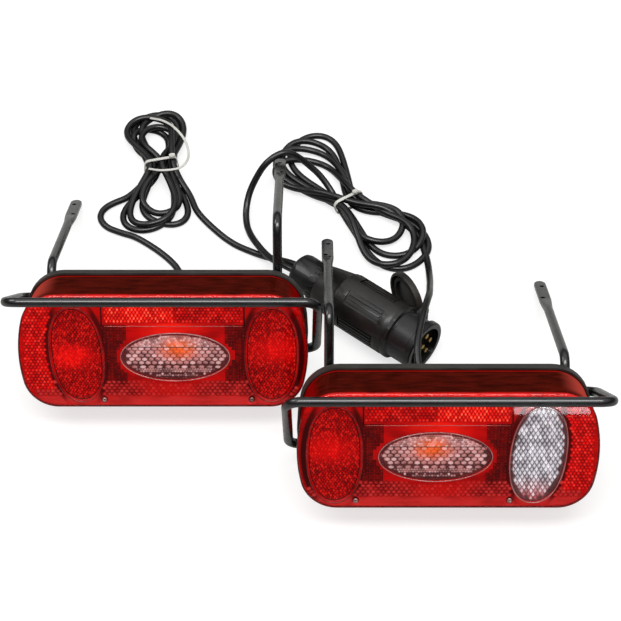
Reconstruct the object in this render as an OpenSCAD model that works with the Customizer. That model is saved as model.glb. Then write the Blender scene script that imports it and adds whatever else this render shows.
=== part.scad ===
// Trailer lighting set: two leaning rear lamps on bent bar brackets, joined by
// two tied cables to one round plug in a short adapter with a sprung cover.
// Millimetres. The set stands on Z = 0, +Z up, the lamps face -Y.

/* [Lamp body] */
// Width of each lamp over its base
lamp_w = 240; // [232:1:248]
// Height of each lamp over its base
lamp_h = 107; // [104:1:112]
// Depth from the back of the base to the lens face
lamp_d = 54.5; // [52:0.5:58]
// Corner radius of the base
corner_r = 32; // [28:1:36]
// Radius of the slightly bulging ends
end_r = 130; // [115:1:160]
// Height of the base's rim
rim_h = 9; // [8:0.5:11]
// Thickness of the base's floor
floor_t = 2.6; // [2:0.2:3.4]
// Width of the base's rim, which holds the seal groove
rim_w = 6; // [5.4:0.2:7]

/* [Lens] */
// Thickness of the lens side wall
lens_wall = 2.2; // [1.8:0.1:2.4]
// Thickness of the lens face
face_t = 2.4; // [2:0.1:3]
// Draft of the lens side wall over its depth
lens_draft = 2; // [1:0.5:3]
// Rounding of the lens's front edge
edge_r = 2.4; // [1.5:0.1:3]
// Half width of the clear centre window
centre_a = 45; // [40:1:46]
// Half height of the clear centre window
centre_b = 21; // [18:1:22]
// Half width of the tall windows
tall_a = 22; // [19:0.5:23]
// Half height of the tall windows
tall_b = 41.5; // [36:0.5:42]
// Width of the top reflex reflector
reflex_w = 114; // [100:1:118]
// Height of the top reflex reflector
reflex_h = 21; // [16:1:22]
// Pitch of the reflex prisms
prism_pitch = 3; // [2.4:0.2:4]
// Pitch of the diamond prisms behind the red optics
red_pitch = 7; // [6:0.5:9]
// Pitch of the prisms behind the clear windows
clear_pitch = 5.6; // [5:0.4:8]
// Distance between the two lens screws
screw_span = 123; // [116:1:126]

/* [Bracket] */
// Diameter of the bent bar
bar_d = 8; // [7:0.5:8.5]
// Centreline radius of the bar's bends
bend_r = 12; // [10:0.5:12.5]
// Centre of the guard bar above the bottom of the lamp
guard_y = 102; // [98:1:106]
// Centre of the guard bar in front of the back of the lamp
guard_z = 68; // [66:1:74]
// Half length of the guard bar between its corners
guard_x = 128; // [127:0.5:128.5]
// Inner arm above the bottom of the lamp
inner_arm_y = 149; // [140:1:155]
// Outer arm above the bottom of the lamp
outer_arm_y = 109; // [107:1:113]
// Width of the flattened bar ends
flat_w = 10.5; // [10:0.5:12]
// Thickness of the flattened bar ends
flat_t = 4.5; // [4:0.25:5]
// Length of the flattened bar ends
flat_l = 48; // [44:1:56]
// Diameter of the holes in the flattened ends
arm_hole_d = 4.2; // [3.6:0.2:4.8]
// Distance between the two holes of an end
arm_hole_gap = 30; // [26:1:32]
// Thickness of the mounting strip
strip_t = 3; // [2.5:0.25:4]
// Width of the mounting strip
strip_w = 20; // [18:1:24]
// Distance between the two fixing bolts of a lamp
bolt_span = 120; // [110:1:130]

/* [Bulbs] */
// Radius of the glass bulbs
globe_r = 12.5; // [11:0.25:13]
// Radius of the bulbs' metal caps
cap_r = 7.5; // [7:0.25:7.75]
// Height of the bulbs' axes above the back of the base
bulb_z = 26; // [24:0.5:28]

/* [Plug and adapter] */
// Radius of the plug's grip sleeve
sleeve_r = 25; // [24:0.5:25]
// Radius of the adapter's body
adapter_r = 22; // [21:0.5:22.5]
// Radius of the sprung cover
cover_r = 24; // [22:0.5:24.5]
// Angle at which the cover stands off the plug
cover_rest = 20; // [18:1:24]
// Radius of the plug insert
insert_r = 17.5; // [16.5:0.5:17.5]

/* [Cables] */
// Diameter of the cables
cable_d = 6.2; // [5:0.2:6.4]
// Height of the tied hanks
hank_h = 18; // [14:1:20]
// Thickness of the ties
tie_t = 0.9; // [0.6:0.1:1.2]

/* [Stance] */
// Lean of the lamp faces from level
lean = 61; // [59:1:63]
// Place of the right lamp across
right_x = 109; // [108:1:116]
// Place of the left lamp across
left_x = -122; // [-130:1:-121.5]
// Place of the left lamp behind the right one
left_y = 102.6; // [98:0.2:106]

/* [Hidden] */
$fn = 48;
eps = 0.01;

// Clearances
gap = 0.3;
slim = 0.2;

// Colours
BLACK = [0.09, 0.09, 0.09];
PAINT = [0.07, 0.08, 0.08];
RED = [0.7, 0.02, 0.03, 0.75];
REFLEX = [0.85, 0.05, 0.04];
CLEAR = [0.88, 0.88, 0.9, 0.6];
AMBER = [0.95, 0.5, 0.08];
WHITE = [0.85, 0.85, 0.82];
STEEL = [0.62, 0.63, 0.65];
BRASS = [0.78, 0.62, 0.3];
RUBBER = [0.05, 0.05, 0.05];

// Lamp outline: four corner arcs and two bulging ends, inset by d

function arc(cx, cy, r, a0, a1, n, last) =
    [for (i = [0 : n - 1 + last]) let(a = a0 + (a1 - a0) * i / n) [cx + r * cos(a), cy + r * sin(a)]];

function lamp_outline(d) =
    let(r = corner_r - d,
        e = end_r - d,
        hw = lamp_w / 2 - d,
        hh = lamp_h / 2 - d,
        ex = hw - e,
        cy = hh - r,
        cx = ex + sqrt(pow(e - r, 2) - cy * cy),
        t = atan2(cy, cx - ex))
    concat(arc(ex, 0, e, -t, t, 4, 0), arc(cx, cy, r, t, 90, 9, 1),
        arc(-cx, cy, r, 90, 180 - t, 9, 0), arc(-ex, 0, e, 180 - t, 180 + t, 4, 0),
        arc(-cx, -cy, r, 180 + t, 270, 9, 1), arc(cx, -cy, r, 270, 360 - t, 9, 0));

function ellipse_points(a, b, n) = [for (i = [0 : n - 1]) [a * cos(360 * i / n), b * sin(360 * i / n)]];

module slab(d, z0, z1)
    translate([0, lamp_h / 2, z0])
        linear_extrude(z1 - z0)
            polygon(lamp_outline(d));

module oval(x, y, a, b, z0, z1)
    translate([x, y, z0])
        linear_extrude(z1 - z0)
            polygon(ellipse_points(a, b, 44));

// Where the optics lie on the face: x runs to the outer end, y up from the bottom
inner_margin = 8;
outer_margin = 26.5;
inner_tall_x = -lamp_w / 2 + inner_margin + tall_a;
outer_tall_x = lamp_w / 2 - outer_margin - tall_a;
optic_x = (inner_tall_x + outer_tall_x) / 2 - 0.75;
centre_y = 49;
tall_y = 51;
reflex_x = optic_x + 1;
reflex_y = 89;
screw_y = 10.5;
screw_x = [optic_x - 1.5 - screw_span / 2, optic_x - 1.5 + screw_span / 2];

// Seal groove and lens seat in the rim
groove_in = 1.6;
lens_in = groove_in + slim;
groove_out = lens_in + lens_wall + slim;
groove_d = 2.4;
seal_t = 1.8;
lens_z = rim_h - groove_d + seal_t;

// Studs and posts
post_r = 5.4;
post_top = 14;
screw_r = 1.6;
head_r = 3.6;
head_t = 2;
bolt_r = 2.5;
bolt_hole_r = bolt_r + gap;
// Corner radius of the bolts' heads and nuts
hex_r = 4.62;
hex_h = 1.6;
bolt_x = [-bolt_span / 2, bolt_span / 2];
strip_y = 80;
entry_y = 60;
entry_x = optic_x;
neck_r = 5.5;

module lamp_base() color(BLACK) difference() {
    union() {
        difference() {
            slab(0, 0, rim_h);
            slab(rim_w, floor_t, rim_h + 1);
            difference() {
                slab(groove_in, rim_h - groove_d, rim_h + 1);
                slab(groove_out, rim_h - groove_d - 1, rim_h + 2);
            }
        }
        // Posts for the lens screws and stiffening ribs
        for (x = screw_x) translate([x, screw_y, floor_t - eps]) cylinder(r = post_r, h = post_top - floor_t);
        for (x = [-94, -50, -26, 18, 34, 84]) translate([x - 0.8, 20, floor_t - eps]) cube([1.6, lamp_h - 40, rib_h]);
        for (y = [33, 70]) translate([-lamp_w / 2 + 16, y, floor_t - eps]) cube([lamp_w - 32, 1.6, rib_h]);
        for (x = bolt_x) translate([x, strip_y, floor_t - eps]) cylinder(r = bolt_r + 5, h = rib_h);
        translate([entry_x, entry_y, floor_t - eps]) cylinder(r = neck_r + 3, h = rib_h);
    }
    for (x = screw_x) translate([x, screw_y, floor_t + 1]) cylinder(r = screw_r, h = post_top);
    for (x = bolt_x) translate([x, strip_y, -1]) cylinder(r = bolt_hole_r, h = floor_t + 4);
    for (x = bolt_x) translate([x, strip_y, floor_t]) cylinder(r = hex_r + gap, h = 4, $fn = 6);
    translate([entry_x, entry_y, -1]) cylinder(r = neck_r, h = floor_t + 4);
}

module lamp_seal() color(RUBBER) difference() {
    slab(lens_in, rim_h - groove_d, lens_z);
    slab(lens_in + lens_wall, rim_h - groove_d - 1, lens_z + 1);
}

// Outer or inner skin of the lens, drafted, with a rounded front edge
module lens_skin(d, z0, z1, r) hull() {
    slab(d, z0, z0 + 0.5);
    slab(d + lens_draft, z1 - r - eps, z1 - r);
    slab(d + lens_draft + r * 0.3, z1 - r * 0.3 - eps, z1 - r * 0.3);
    slab(d + lens_draft + r, z1 - eps, z1);
}

module lamp_lens(outer_window) color(RED) difference() {
    union() {
        difference() {
            lens_skin(lens_in, lens_z, lamp_d, edge_r);
            lens_skin(lens_in + lens_wall, lens_z - 1, lamp_d - face_t, 0.8);
        }
        // Raised rims round the tall optics
        for (x = outer_window ? [inner_tall_x] : [inner_tall_x, outer_tall_x]) {
            oval(x, tall_y, tall_a, tall_b, lamp_d - eps, lamp_d + 0.5);
        }
        for (x = outer_window ? [inner_tall_x] : [inner_tall_x, outer_tall_x])
            prisms(x, tall_y, tall_a - 2, tall_b - 2, red_pitch, [30, -30]);
        // Towers that carry the lens screws down to the base's posts
        for (x = screw_x) translate([x, screw_y, post_top]) cylinder(r = post_r, h = lamp_d - face_t - post_top + eps);
        // Step below the top reflector
        translate([reflex_x - reflex_w / 2, reflex_y - reflex_h / 2 - 7, lamp_d - eps])
            cube([reflex_w, 1.2, 0.5]);
        // Seat rails of the top reflector
        for (y = [reflex_y - reflex_h / 2 - 1.5 - gap, reflex_y + reflex_h / 2 + gap])
            translate([reflex_x - reflex_w / 2, y, lamp_d - face_t - 3])
                cube([reflex_w, 1.5, 3 + eps]);
    }
    oval(optic_x, centre_y, centre_a + slim, centre_b + slim, lamp_d - face_t - 1, lamp_d + 1);
    if (outer_window) oval(outer_tall_x, tall_y, tall_a + slim, tall_b + slim, lamp_d - face_t - 1, lamp_d + 1);
    for (x = screw_x) {
        translate([x, screw_y, post_top - 1]) cylinder(r = screw_r + gap, h = lamp_d);
        translate([x, screw_y, lamp_d - face_t]) cylinder(r = head_r + 0.6, h = lamp_d);
    }
}

// Moulded prisms on the back of a window: ridges run at each of the given turns, and where two rows cross they leave
// pointed diamonds
module prisms(x, y, a, b, p, turns) intersection() {
    oval(x, y, a, b, lamp_d - face_t - p, lamp_d - face_t + eps);
    translate([x, y, lamp_d - face_t + eps]) intersection_for (t = turns)
        rotate([90, 0, t]) linear_extrude(4 * b, center = true) polygon(zigzag(2 * p * ceil(2 * b / p), 0.3, p));
}

module window(x, y, a, b, p, turns) color(CLEAR) {
    oval(x, y, a, b, lamp_d - face_t - slim, lamp_d + 0.3);
    translate([0, 0, -slim]) prisms(x, y, a - 2.4, b - 2.4, p, turns);
    difference() {
        oval(x, y, a + 1.8, b + 1.8, lamp_d - face_t - 1.8, lamp_d - face_t - slim);
        oval(x, y, a - 2, b - 2, lamp_d - face_t - 3, lamp_d - face_t - slim - eps);
    }
}

// Zigzag back of a reflex panel, w wide and t thick
function zigzag(w, t, p) =
    let(n = floor(w / p))
    concat([[-w / 2, 0], [w / 2, 0], [w / 2, -t]],
        [for (i = [n : -1 : 1]) each [[-w / 2 + (i - 0.5) * w / n, -t - p / 3], [-w / 2 + (i - 1) * w / n, -t]]]);

module reflex_reflector() color(REFLEX)
    translate([reflex_x, reflex_y + reflex_h / 2, lamp_d - face_t - gap])
        rotate([90, 0, 0])
            linear_extrude(reflex_h)
                polygon(zigzag(reflex_w, 1.6, prism_pitch));

side_w = 12;
side_h = 62;

module side_reflector() color(REFLEX) intersection() {
    translate([lamp_w / 2 - 12 - side_w / 2, lamp_h / 2, lamp_d - face_t - gap])
        rotate([90, 0, -90])
            translate([0, 0, -side_w / 2])
                linear_extrude(side_w)
                    polygon(zigzag(side_h, 1.6, prism_pitch));
    slab(lens_in + lens_wall + lens_draft + 2, 0, lamp_d);
}

rib_h = 1.6;
tray_z = floor_t + rib_h + gap;
tray_t = 1.4;
cup_top = 38;

module cup(x, y, a, b) difference() {
    oval(x, y, a, b, tray_z + tray_t - eps, cup_top);
    oval(x, y, a - 1.4, b - 1.4, tray_z, cup_top + 1);
}

// Cap end of each bulb: the outer two stand along the lamp's height, the middle one lies across
bulb_len = 47;
cap_len = 15;
holder_r = cap_r + gap + 0.8;
cap_y = tall_y - (bulb_len - globe_r);
tall_bulbs = [inner_tall_x, outer_tall_x];

module at_tall_bulb(x) translate([x, cap_y, bulb_z]) rotate([-90, 0, 0]) children();
module at_centre_bulb() translate([optic_x + bulb_len - globe_r, centre_y, bulb_z]) rotate([0, -90, 0]) children();

module bulb_tray() color(WHITE) difference() {
    union() {
        slab(rim_w + 1.5, tray_z, tray_z + tray_t);
        for (x = tall_bulbs) cup(x, tall_y, tall_a - 2, tall_b - 1);
        cup(optic_x, centre_y, centre_a + 3, centre_b + 5);
        // Saddles under the bulb holders
        for (x = tall_bulbs)
            translate([x - 4, cap_y + 1, tray_z + tray_t - eps]) cube([8, cap_len - 2, bulb_z - tray_z - tray_t]);
        translate([optic_x + bulb_len - globe_r - cap_len + 1, centre_y - 4, tray_z + tray_t - eps])
            cube([cap_len - 2, 8, bulb_z - tray_z - tray_t]);
    }
    for (x = tall_bulbs) at_tall_bulb(x) translate([0, 0, -1]) cylinder(r = holder_r + 0.1, h = bulb_len);
    at_centre_bulb() translate([0, 0, -1]) cylinder(r = holder_r + 0.1, h = bulb_len);
    for (x = screw_x) translate([x, screw_y, 0]) cylinder(r = post_r + 0.6, h = 40);
    for (x = bolt_x) translate([x, strip_y, tray_z - 1]) cylinder(r = 6, h = 4);
    translate([entry_x, entry_y, tray_z - 1]) cylinder(r = neck_r + 2, h = 4);
}

module holder() difference() {
    cylinder(r = holder_r, h = cap_len - 1);
    translate([0, 0, 0.8]) cylinder(r = cap_r + gap, h = cap_len);
    // Slots that take the bayonet pins
    for (a = [0, 180]) rotate([0, 0, a]) translate([-1.1, 0, 4]) cube([2.2, holder_r + 1, cap_len]);
}

module bulb_holders() color(STEEL) {
    for (x = tall_bulbs) at_tall_bulb(x) holder();
    at_centre_bulb() holder();
}

module bulb_glass() rotate_extrude() polygon(concat(
    [[0, cap_len], [5.6, cap_len], [6.2, cap_len + 4]],
    [for (i = [-5 : 9]) let(a = i * 10) [globe_r * cos(a), bulb_len - globe_r + globe_r * sin(a)]]));

module bulb_cap() {
    rotate_extrude() polygon([[0, 1.1], [2.4, 1.1], [3.2, 2.2], [cap_r, 2.6], [cap_r, cap_len - 0.6],
        [cap_r - 0.8, cap_len], [0, cap_len]]);
    for (a = [0, 180]) rotate([0, 0, a]) translate([0, cap_r - 1, 7]) rotate([-90, 0, 0]) cylinder(r = 0.9, h = 2, $fn = 16);
}

module clear_bulbs() color(CLEAR) for (x = tall_bulbs) at_tall_bulb(x) bulb_glass();
module amber_bulb() color(AMBER) at_centre_bulb() bulb_glass();
module bulb_caps() color(BRASS) {
    for (x = tall_bulbs) at_tall_bulb(x) bulb_cap();
    at_centre_bulb() bulb_cap();
}

module lens_screws() color(STEEL) for (x = screw_x) translate([x, screw_y, 0]) difference() {
    union() {
        translate([0, 0, floor_t + 2]) cylinder(r = screw_r, h = lamp_d - face_t - floor_t - 2 + eps);
        translate([0, 0, lamp_d - face_t]) rotate_extrude()
            polygon([[0, 0], [head_r, 0], [head_r, head_t - 0.7], [head_r - 0.8, head_t - 0.1], [0, head_t]]);
    }
    // Cross recess
    for (a = [0, 90]) translate([0, 0, lamp_d]) rotate([0, 0, a]) cube([4, 0.9, 3], center = true);
}

nose_z = -22;

module grommet() color(RUBBER) translate([entry_x, entry_y, 0]) rotate_extrude() polygon([
    [cable_d / 2 + slim, nose_z], [cable_d / 2 + 1.4, nose_z], [cable_d / 2 + 3, -6], [8.5, -3], [8.5, 0],
    [neck_r, 0], [neck_r, floor_t + 1.6], [neck_r + 1.4, floor_t + 1.7], [neck_r - 0.6, floor_t + 2.3],
    [cable_d / 2 + slim, floor_t + 2.3]]);

// The bent bar: straight runs and bends along corner points

bar_z = -strip_t - bar_d / 2;
inner_arm_x = -94;
outer_arm_x = 98;
outer_run_y = strip_y;
// The arms reach to where the lower face of the outer tip meets the ground
tip_z = -(outer_arm_y - flat_t / 2) * tan(lean);
taper_l = 20;
arm_hole_z = 15;

bar_path = [
    [outer_arm_x, outer_arm_y, tip_z + flat_l + taper_l],
    [outer_arm_x, outer_arm_y, bar_z],
    [outer_arm_x, outer_run_y, bar_z],
    [guard_x - 4, outer_run_y, bar_z],
    [guard_x, guard_y, guard_z],
    [-guard_x, guard_y, guard_z],
    [-guard_x + 1, 33, bar_z],
    [inner_arm_x, 33, bar_z],
    [inner_arm_x, inner_arm_y, bar_z],
    [inner_arm_x, inner_arm_y, tip_z + flat_l + taper_l]
];

function unit(v) = v / norm(v);

// Length that a bend takes off each of its two straights
function bend_cut(p, i) =
    i == 0 || i == len(p) - 1 ? 0 :
    let(a = unit(p[i] - p[i - 1]), b = unit(p[i + 1] - p[i]), turn = acos(a * b)) bend_r * tan(turn / 2);

// Each straight run is a hair thinner than the bend at its end, laps into that bend and meets the one before it
lap = 0.5;
hair = 0.1;
seam = 0.05;

module straight(p, i) {
    dir = unit(p[i + 1] - p[i]);
    from = i == 0 ? -lap : seam;
    to = lap;
    run = norm(p[i + 1] - p[i]) - bend_cut(p, i) - bend_cut(p, i + 1);
    translate(p[i] + dir * (bend_cut(p, i) + from))
        rotate([0, acos(dir[2]), atan2(dir[1], dir[0])])
            cylinder(d = bar_d - hair, h = run - from + to);
}

// One bend, turned about its centre from the incoming direction to the outgoing one
module bend(p, i) {
    a = unit(p[i] - p[i - 1]);
    b = unit(p[i + 1] - p[i]);
    n = unit(cross(a, b));
    out = cross(a, n);
    tilt = acos(n[2]);
    swing = atan2(n[1], n[0]);
    east = [cos(swing) * cos(tilt), sin(swing) * cos(tilt), -sin(tilt)];
    north = [-sin(swing), cos(swing), 0];
    translate(p[i] - a * bend_cut(p, i) - out * bend_r)
        rotate([0, tilt, swing])
            rotate([0, 0, atan2(out * north, out * east)])
                rotate_extrude(angle = acos(a * b)) translate([bend_r, 0]) circle(d = bar_d);
}

// Flattened and drilled end that points along -Z, its second hole off centre
module bar_end() difference() {
    intersection() {
        union() {
            cylinder(d = flat_w, h = flat_l);
            translate([0, 0, flat_l]) cylinder(d1 = flat_w, d2 = bar_d, h = taper_l);
        }
        rotate([90, 0, 90]) translate([0, 0, -flat_w]) linear_extrude(2 * flat_w) polygon([
            [-flat_t / 2, 0], [flat_t / 2, 0], [flat_t / 2, flat_l], [bar_d / 2, flat_l + taper_l],
            [-bar_d / 2, flat_l + taper_l], [-flat_t / 2, flat_l]]);
        union() {
            translate([0, flat_w, flat_w / 2]) rotate([90, 0, 0]) cylinder(d = flat_w, h = 2 * flat_w);
            translate([-flat_w, -flat_w, flat_w / 2]) cube([2 * flat_w, 2 * flat_w, flat_l + taper_l]);
        }
    }
    translate([0.6, flat_t, arm_hole_z]) rotate([90, 0, 0]) cylinder(d = arm_hole_d, h = 2 * flat_t);
    translate([-1.9, flat_t, arm_hole_z + arm_hole_gap]) rotate([90, 0, 0]) cylinder(d = arm_hole_d, h = 2 * flat_t);
}

// The bar is a chain of runs, each with its bend, from the outer arm round the lens to the inner arm
module guard_bar() color(PAINT) {
    last = len(bar_path) - 2;
    translate([outer_arm_x, outer_arm_y, tip_z]) bar_end();
    for (i = [0 : last - 1]) {
        straight(bar_path, i);
        bend(bar_path, i + 1);
    }
    straight(bar_path, last);
    translate([inner_arm_x, inner_arm_y, tip_z]) bar_end();
}

module mounting_strip() color(PAINT) difference() {
    translate([inner_arm_x - 8, strip_y - strip_w / 2, -strip_t])
        cube([outer_arm_x - inner_arm_x + 22, strip_w, strip_t]);
    for (x = bolt_x) translate([x, strip_y, -strip_t - 1]) cylinder(r = bolt_hole_r, h = strip_t + 2);
    translate([entry_x, entry_y, -strip_t - 1]) cylinder(r = 12, h = strip_t + 2);
}

module fixing_bolts() color(STEEL) for (x = bolt_x) translate([x, strip_y, 0]) {
    translate([0, 0, floor_t]) cylinder(r = hex_r, h = hex_h, $fn = 6);
    translate([0, 0, -strip_t - 8]) cylinder(r = bolt_r, h = floor_t + strip_t + 8 + eps);
}

module fixing_nuts() color(STEEL) for (x = bolt_x) translate([x, strip_y, 0]) {
    difference() {
        union() {
            translate([0, 0, -strip_t - 1]) cylinder(r = 5.6, h = 1);
            translate([0, 0, -strip_t - 5]) cylinder(r = hex_r, h = 4 + eps, $fn = 6);
        }
        translate([0, 0, -strip_t - 6]) cylinder(r = bolt_r, h = 8);
    }
}

// The origin lies under the middle of the set's box, measured without its cables
front_in = lens_in + lens_draft + edge_r;
front_edge = front_in * cos(lean) - lamp_d * sin(lean);
back_edge = left_y + (inner_arm_y + flat_t / 2) * cos(lean) - tip_z * sin(lean);

module ground() translate([-(left_x + right_x) / 2, -(front_edge + back_edge) / 2, 0]) children();
module right_lamp() ground() translate([right_x, 0, 0]) rotate([lean, 0, 0]) children();
module left_lamp() ground() translate([left_x, left_y, 0]) rotate([lean, 0, 0]) mirror([1, 0, 0]) children();

// Plug and adapter: X runs along the axis from the gland, Y to the far side, Z up

plug_x = -11;
plug_y = 217;
plug_turn = -40;
axis_z = sleeve_r + 0.5;
nut_r = 17;
nut_l = 22;
ring_l = 7;
cone_end = 57;
sleeve_end = 112;
adapter_start = sleeve_end + gap;
collar_r = sleeve_r;
collar_end = 117;
adapter_end = 143;
flange_r = 24;
flange_l = 6;
wire_gap = cable_d / 2 + 0.4;

module plug() ground() translate([plug_x, plug_y, axis_z]) rotate([0, 0, plug_turn]) children();
module spin() rotate([0, 90, 0]) rotate_extrude() children();
module round_bar(x0, x1, r) translate([x0, 0, 0]) rotate([0, 90, 0]) cylinder(r = r, h = x1 - x0);

module gland_nut() color(BLACK) plug() intersection() {
    spin() polygon([[9, 0], [13, 0], [16, 2.4], [nut_r, 6], [nut_r, nut_l], [9, nut_l]]);
    translate([-1, 0, 0]) rotate([0, 90, 0]) cylinder(r = nut_r + 0.9, h = nut_l + 2, $fn = 8);
}

module cable_seal() color(RUBBER) plug() difference() {
    round_bar(1.5, nut_l - 1, 8.8);
    for (s = [-1, 1]) translate([0, s * wire_gap, 0]) round_bar(0, nut_l, cable_d / 2 + slim);
}

module knurled_ring() color(BLACK) plug() difference() {
    union() {
        round_bar(nut_l + gap, nut_l + ring_l, nut_r + 0.6);
        for (i = [0 : 23]) rotate([i * 15, 0, 0]) translate([nut_l + 1, -0.8, nut_r]) cube([ring_l - 1.6, 1.6, 1.6]);
    }
    round_bar(0, 40, 9);
}

module rear_body() color(BLACK) plug() spin() polygon([
    [9, nut_l + ring_l + gap], [nut_r + 1.6, nut_l + ring_l + gap], [nut_r + 2.4, nut_l + ring_l + 3],
    [sleeve_r - 1.4, cone_end - 4], [sleeve_r - 0.6, cone_end - 3], [sleeve_r - 0.6, cone_end - gap],
    [16, cone_end - gap], [12, cone_end - 12], [9, cone_end - 20]]);

panel_l = 38;
panel_w = 13;

module grip_sleeve() color(BLACK) plug() difference() {
    union() {
        difference() {
            spin() polygon([[18.2, cone_end], [sleeve_r, cone_end], [sleeve_r, sleeve_end - 3],
                [sleeve_r - 1, sleeve_end], [18.2, sleeve_end]]);
            for (i = [0 : 5]) rotate([i * 60 + 30, 0, 0])
                translate([cone_end + 8, -panel_w / 2, sleeve_r - 2.2]) cube([panel_l, panel_w, 4]);
        }
        for (i = [0 : 5], k = [-1, 0, 1]) rotate([i * 60 + 30 + k * 9, 0, 0])
            translate([cone_end + 9.5, -0.9, sleeve_r - 3.4]) cube([panel_l - 3, 1.8, 2.9]);
    }
    round_bar(cone_end - 1, sleeve_end + 1, 18);
}

pin_start = 102;
pin_end = 130;
insert_start = 96;
insert_end = 117;
socket_start = insert_end + gap;
socket_end = 131;
pin_r = 1.2;

function pin_places() = concat([[0, 0]], [for (i = [0 : 11]) let(a = i * 30) [12.5 * cos(a), 12.5 * sin(a)]]);

module pin_row(x0, x1, r) for (p = pin_places()) translate([0, p[0], p[1]]) round_bar(x0, x1, r);

module plug_insert() color(BLACK) plug() difference() {
    union() {
        round_bar(insert_start, insert_end, insert_r);
        round_bar(cone_end + 2, insert_start + eps, insert_r - 4);
    }
    round_bar(cone_end, insert_start - 4, insert_r - 6);
    pin_row(pin_start - 1, insert_end + 1, pin_r);
}

module plug_pins() color(BRASS) plug() pin_row(pin_start, pin_end, pin_r);

hinge_x = 121.5;
hinge_y = collar_r + 1.7;
ear_in = 8.2;
ear_t = 3.2;
pin_hole_r = 1.6;
cover_reach = 28;
lip_d = 3.2;

module adapter_body() color(BLACK) plug() difference() {
    union() {
        spin() polygon([[0, adapter_start], [collar_r, adapter_start], [collar_r, collar_end - 1],
            [adapter_r, collar_end], [adapter_r, adapter_end - flange_l - 1], [flange_r, adapter_end - flange_l],
            [flange_r, adapter_end - 1], [flange_r - 1, adapter_end], [0, adapter_end]]);
        // Ears that hold the hinge pin
        for (z = [ear_in, -ear_in - ear_t]) {
            translate([hinge_x, hinge_y, z]) cylinder(r = 3.8, h = ear_t);
            translate([hinge_x - 3.8, adapter_r - 8, z]) cube([7.6, hinge_y - adapter_r + 8, ear_t]);
        }
        // Guide lug on the collar
        rotate([33, 0, 0]) translate([adapter_start + 1, -4, collar_r - 1]) cube([3.4, 8, 2.2]);
    }
    round_bar(adapter_start - 1, socket_end, insert_r + gap);
    round_bar(socket_end + 3, adapter_end + 1, adapter_r - 3);
    translate([hinge_x, hinge_y, -ear_in - ear_t - 1]) cylinder(r = pin_hole_r, h = 2 * (ear_in + ear_t) + 2);
}

module adapter_insert() color(BLACK) plug() difference() {
    round_bar(socket_start, socket_end, insert_r);
    pin_row(socket_start - 1, socket_end + 1, pin_r + slim);
}

module adapter_pins() color(BRASS) plug() for (i = [0 : 6]) {
    place = i == 0 ? [0, 0] : [10.5 * cos(i * 60), 10.5 * sin(i * 60)];
    translate([0, place[0], place[1]]) round_bar(socket_end + 3, adapter_end - 2, 2.2);
}

// Cover frame: X from the hinge to the cover's free end, Y away from the plug
module cover_frame() plug() translate([hinge_x, hinge_y, 0]) rotate([0, 0, 180 - cover_rest]) mirror([0, 1, 0]) children();

module adapter_cover() color(BLACK) cover_frame() difference() {
    union() {
        // Dished disc with a lip round its inner side
        translate([cover_reach, 0, 0]) rotate([-90, 0, 0]) rotate_extrude() polygon([
            [0, 0.6], [cover_r - 2.4, 0.6], [cover_r - 2.4, -lip_d], [cover_r - 0.6, -lip_d], [cover_r, -lip_d + 0.8],
            [cover_r, 2], [cover_r - 1.6, 3.2], [cover_r - 6, 3.8], [0, 4]]);
        // Knuckle round the pin
        translate([0, 0, -5]) cylinder(r = 3.4, h = 10);
        translate([0, 0.6, -5]) cube([cover_reach - cover_r + 4, 2.6, 10]);
        // Catch at the free end
        translate([cover_reach + cover_r - 3, 0.6, -5]) cube([5, 2.4, 10]);
    }
    translate([0, 0, -6]) cylinder(r = pin_hole_r, h = 12);
}

module cover_seal() color(RUBBER) cover_frame() translate([cover_reach, 0.6, 0]) rotate([90, 0, 0]) difference() {
    cylinder(r = insert_r + 1.5, h = 2.4);
    translate([0, 0, -1]) cylinder(r = insert_r - 1.5, h = 5);
}

module hinge_pin() color(STEEL) plug() translate([hinge_x, hinge_y, -ear_in - ear_t]) {
    cylinder(r = pin_hole_r - 0.04, h = 2 * (ear_in + ear_t) + 0.3);
    translate([0, 0, 2 * (ear_in + ear_t) + gap]) cylinder(r = 2.6, h = 1);
}

// Two short torsion coils beside the knuckle
module hinge_spring() color(STEEL) plug() translate([hinge_x, hinge_y, 0])
    for (z = [-6.6, 6.6], k = [-1, 0, 1])
        translate([0, 0, z + k * 0.9]) rotate_extrude() translate([pin_hole_r + 0.85, 0]) circle(d = 0.9, $fn = 16);

// Cable runs through hand-set points

right_lamp_route = [
    [99, 29.1 - 3, 52.5 + 1.6], [99, 48.3, 41.8], [97.5, 58, 40], [94, 70, 41.5], [91, 84, 46], [90, 98, 50.5],
    [91, 112, 53.5], [94, 128, 54.5], [97.5, 144, 53], [101, 160, 48], [104, 176, 39.5], [105.5, 193, 28],
    [107, 211, 16], [107.5, 230, 7], [107.3, 246, 3.4], [105.4, 257, 3.4], [103.3, 265, 4]
];
right_plug_route = [
    [-1, 204, 25.5], [-13, 214, 25.5], [-24, 224, 23], [-34, 235, 18.5], [-42, 247, 15], [-49, 260, 12.5],
    [-55, 275, 8.5], [-59, 291, 5.5], [-60, 307, 8], [-57, 320, 17.5], [-50, 329, 30], [-41, 335, 42],
    [-28, 341, 48.5], [-16, 344, 45.5], [-5, 343.5, 36], [4, 340.5, 27], [14, 336, 21.4]
];
left_lamp_route = [
    [-112, 131.7 - 3, 52.5 + 1.6], [-112, 151, 41.8], [-112, 168, 32.5], [-112, 186, 22], [-113, 205, 11],
    [-116, 223, 4.4], [-122, 239, 3.2], [-133, 253, 3.2], [-147, 266, 3.2], [-162, 277, 3.2], [-177, 286, 3.2],
    [-190, 295, 3.2], [-196, 305, 3.2], [-192, 314, 3.2], [-183, 317, 4], [-175, 316, 5]
];
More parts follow.
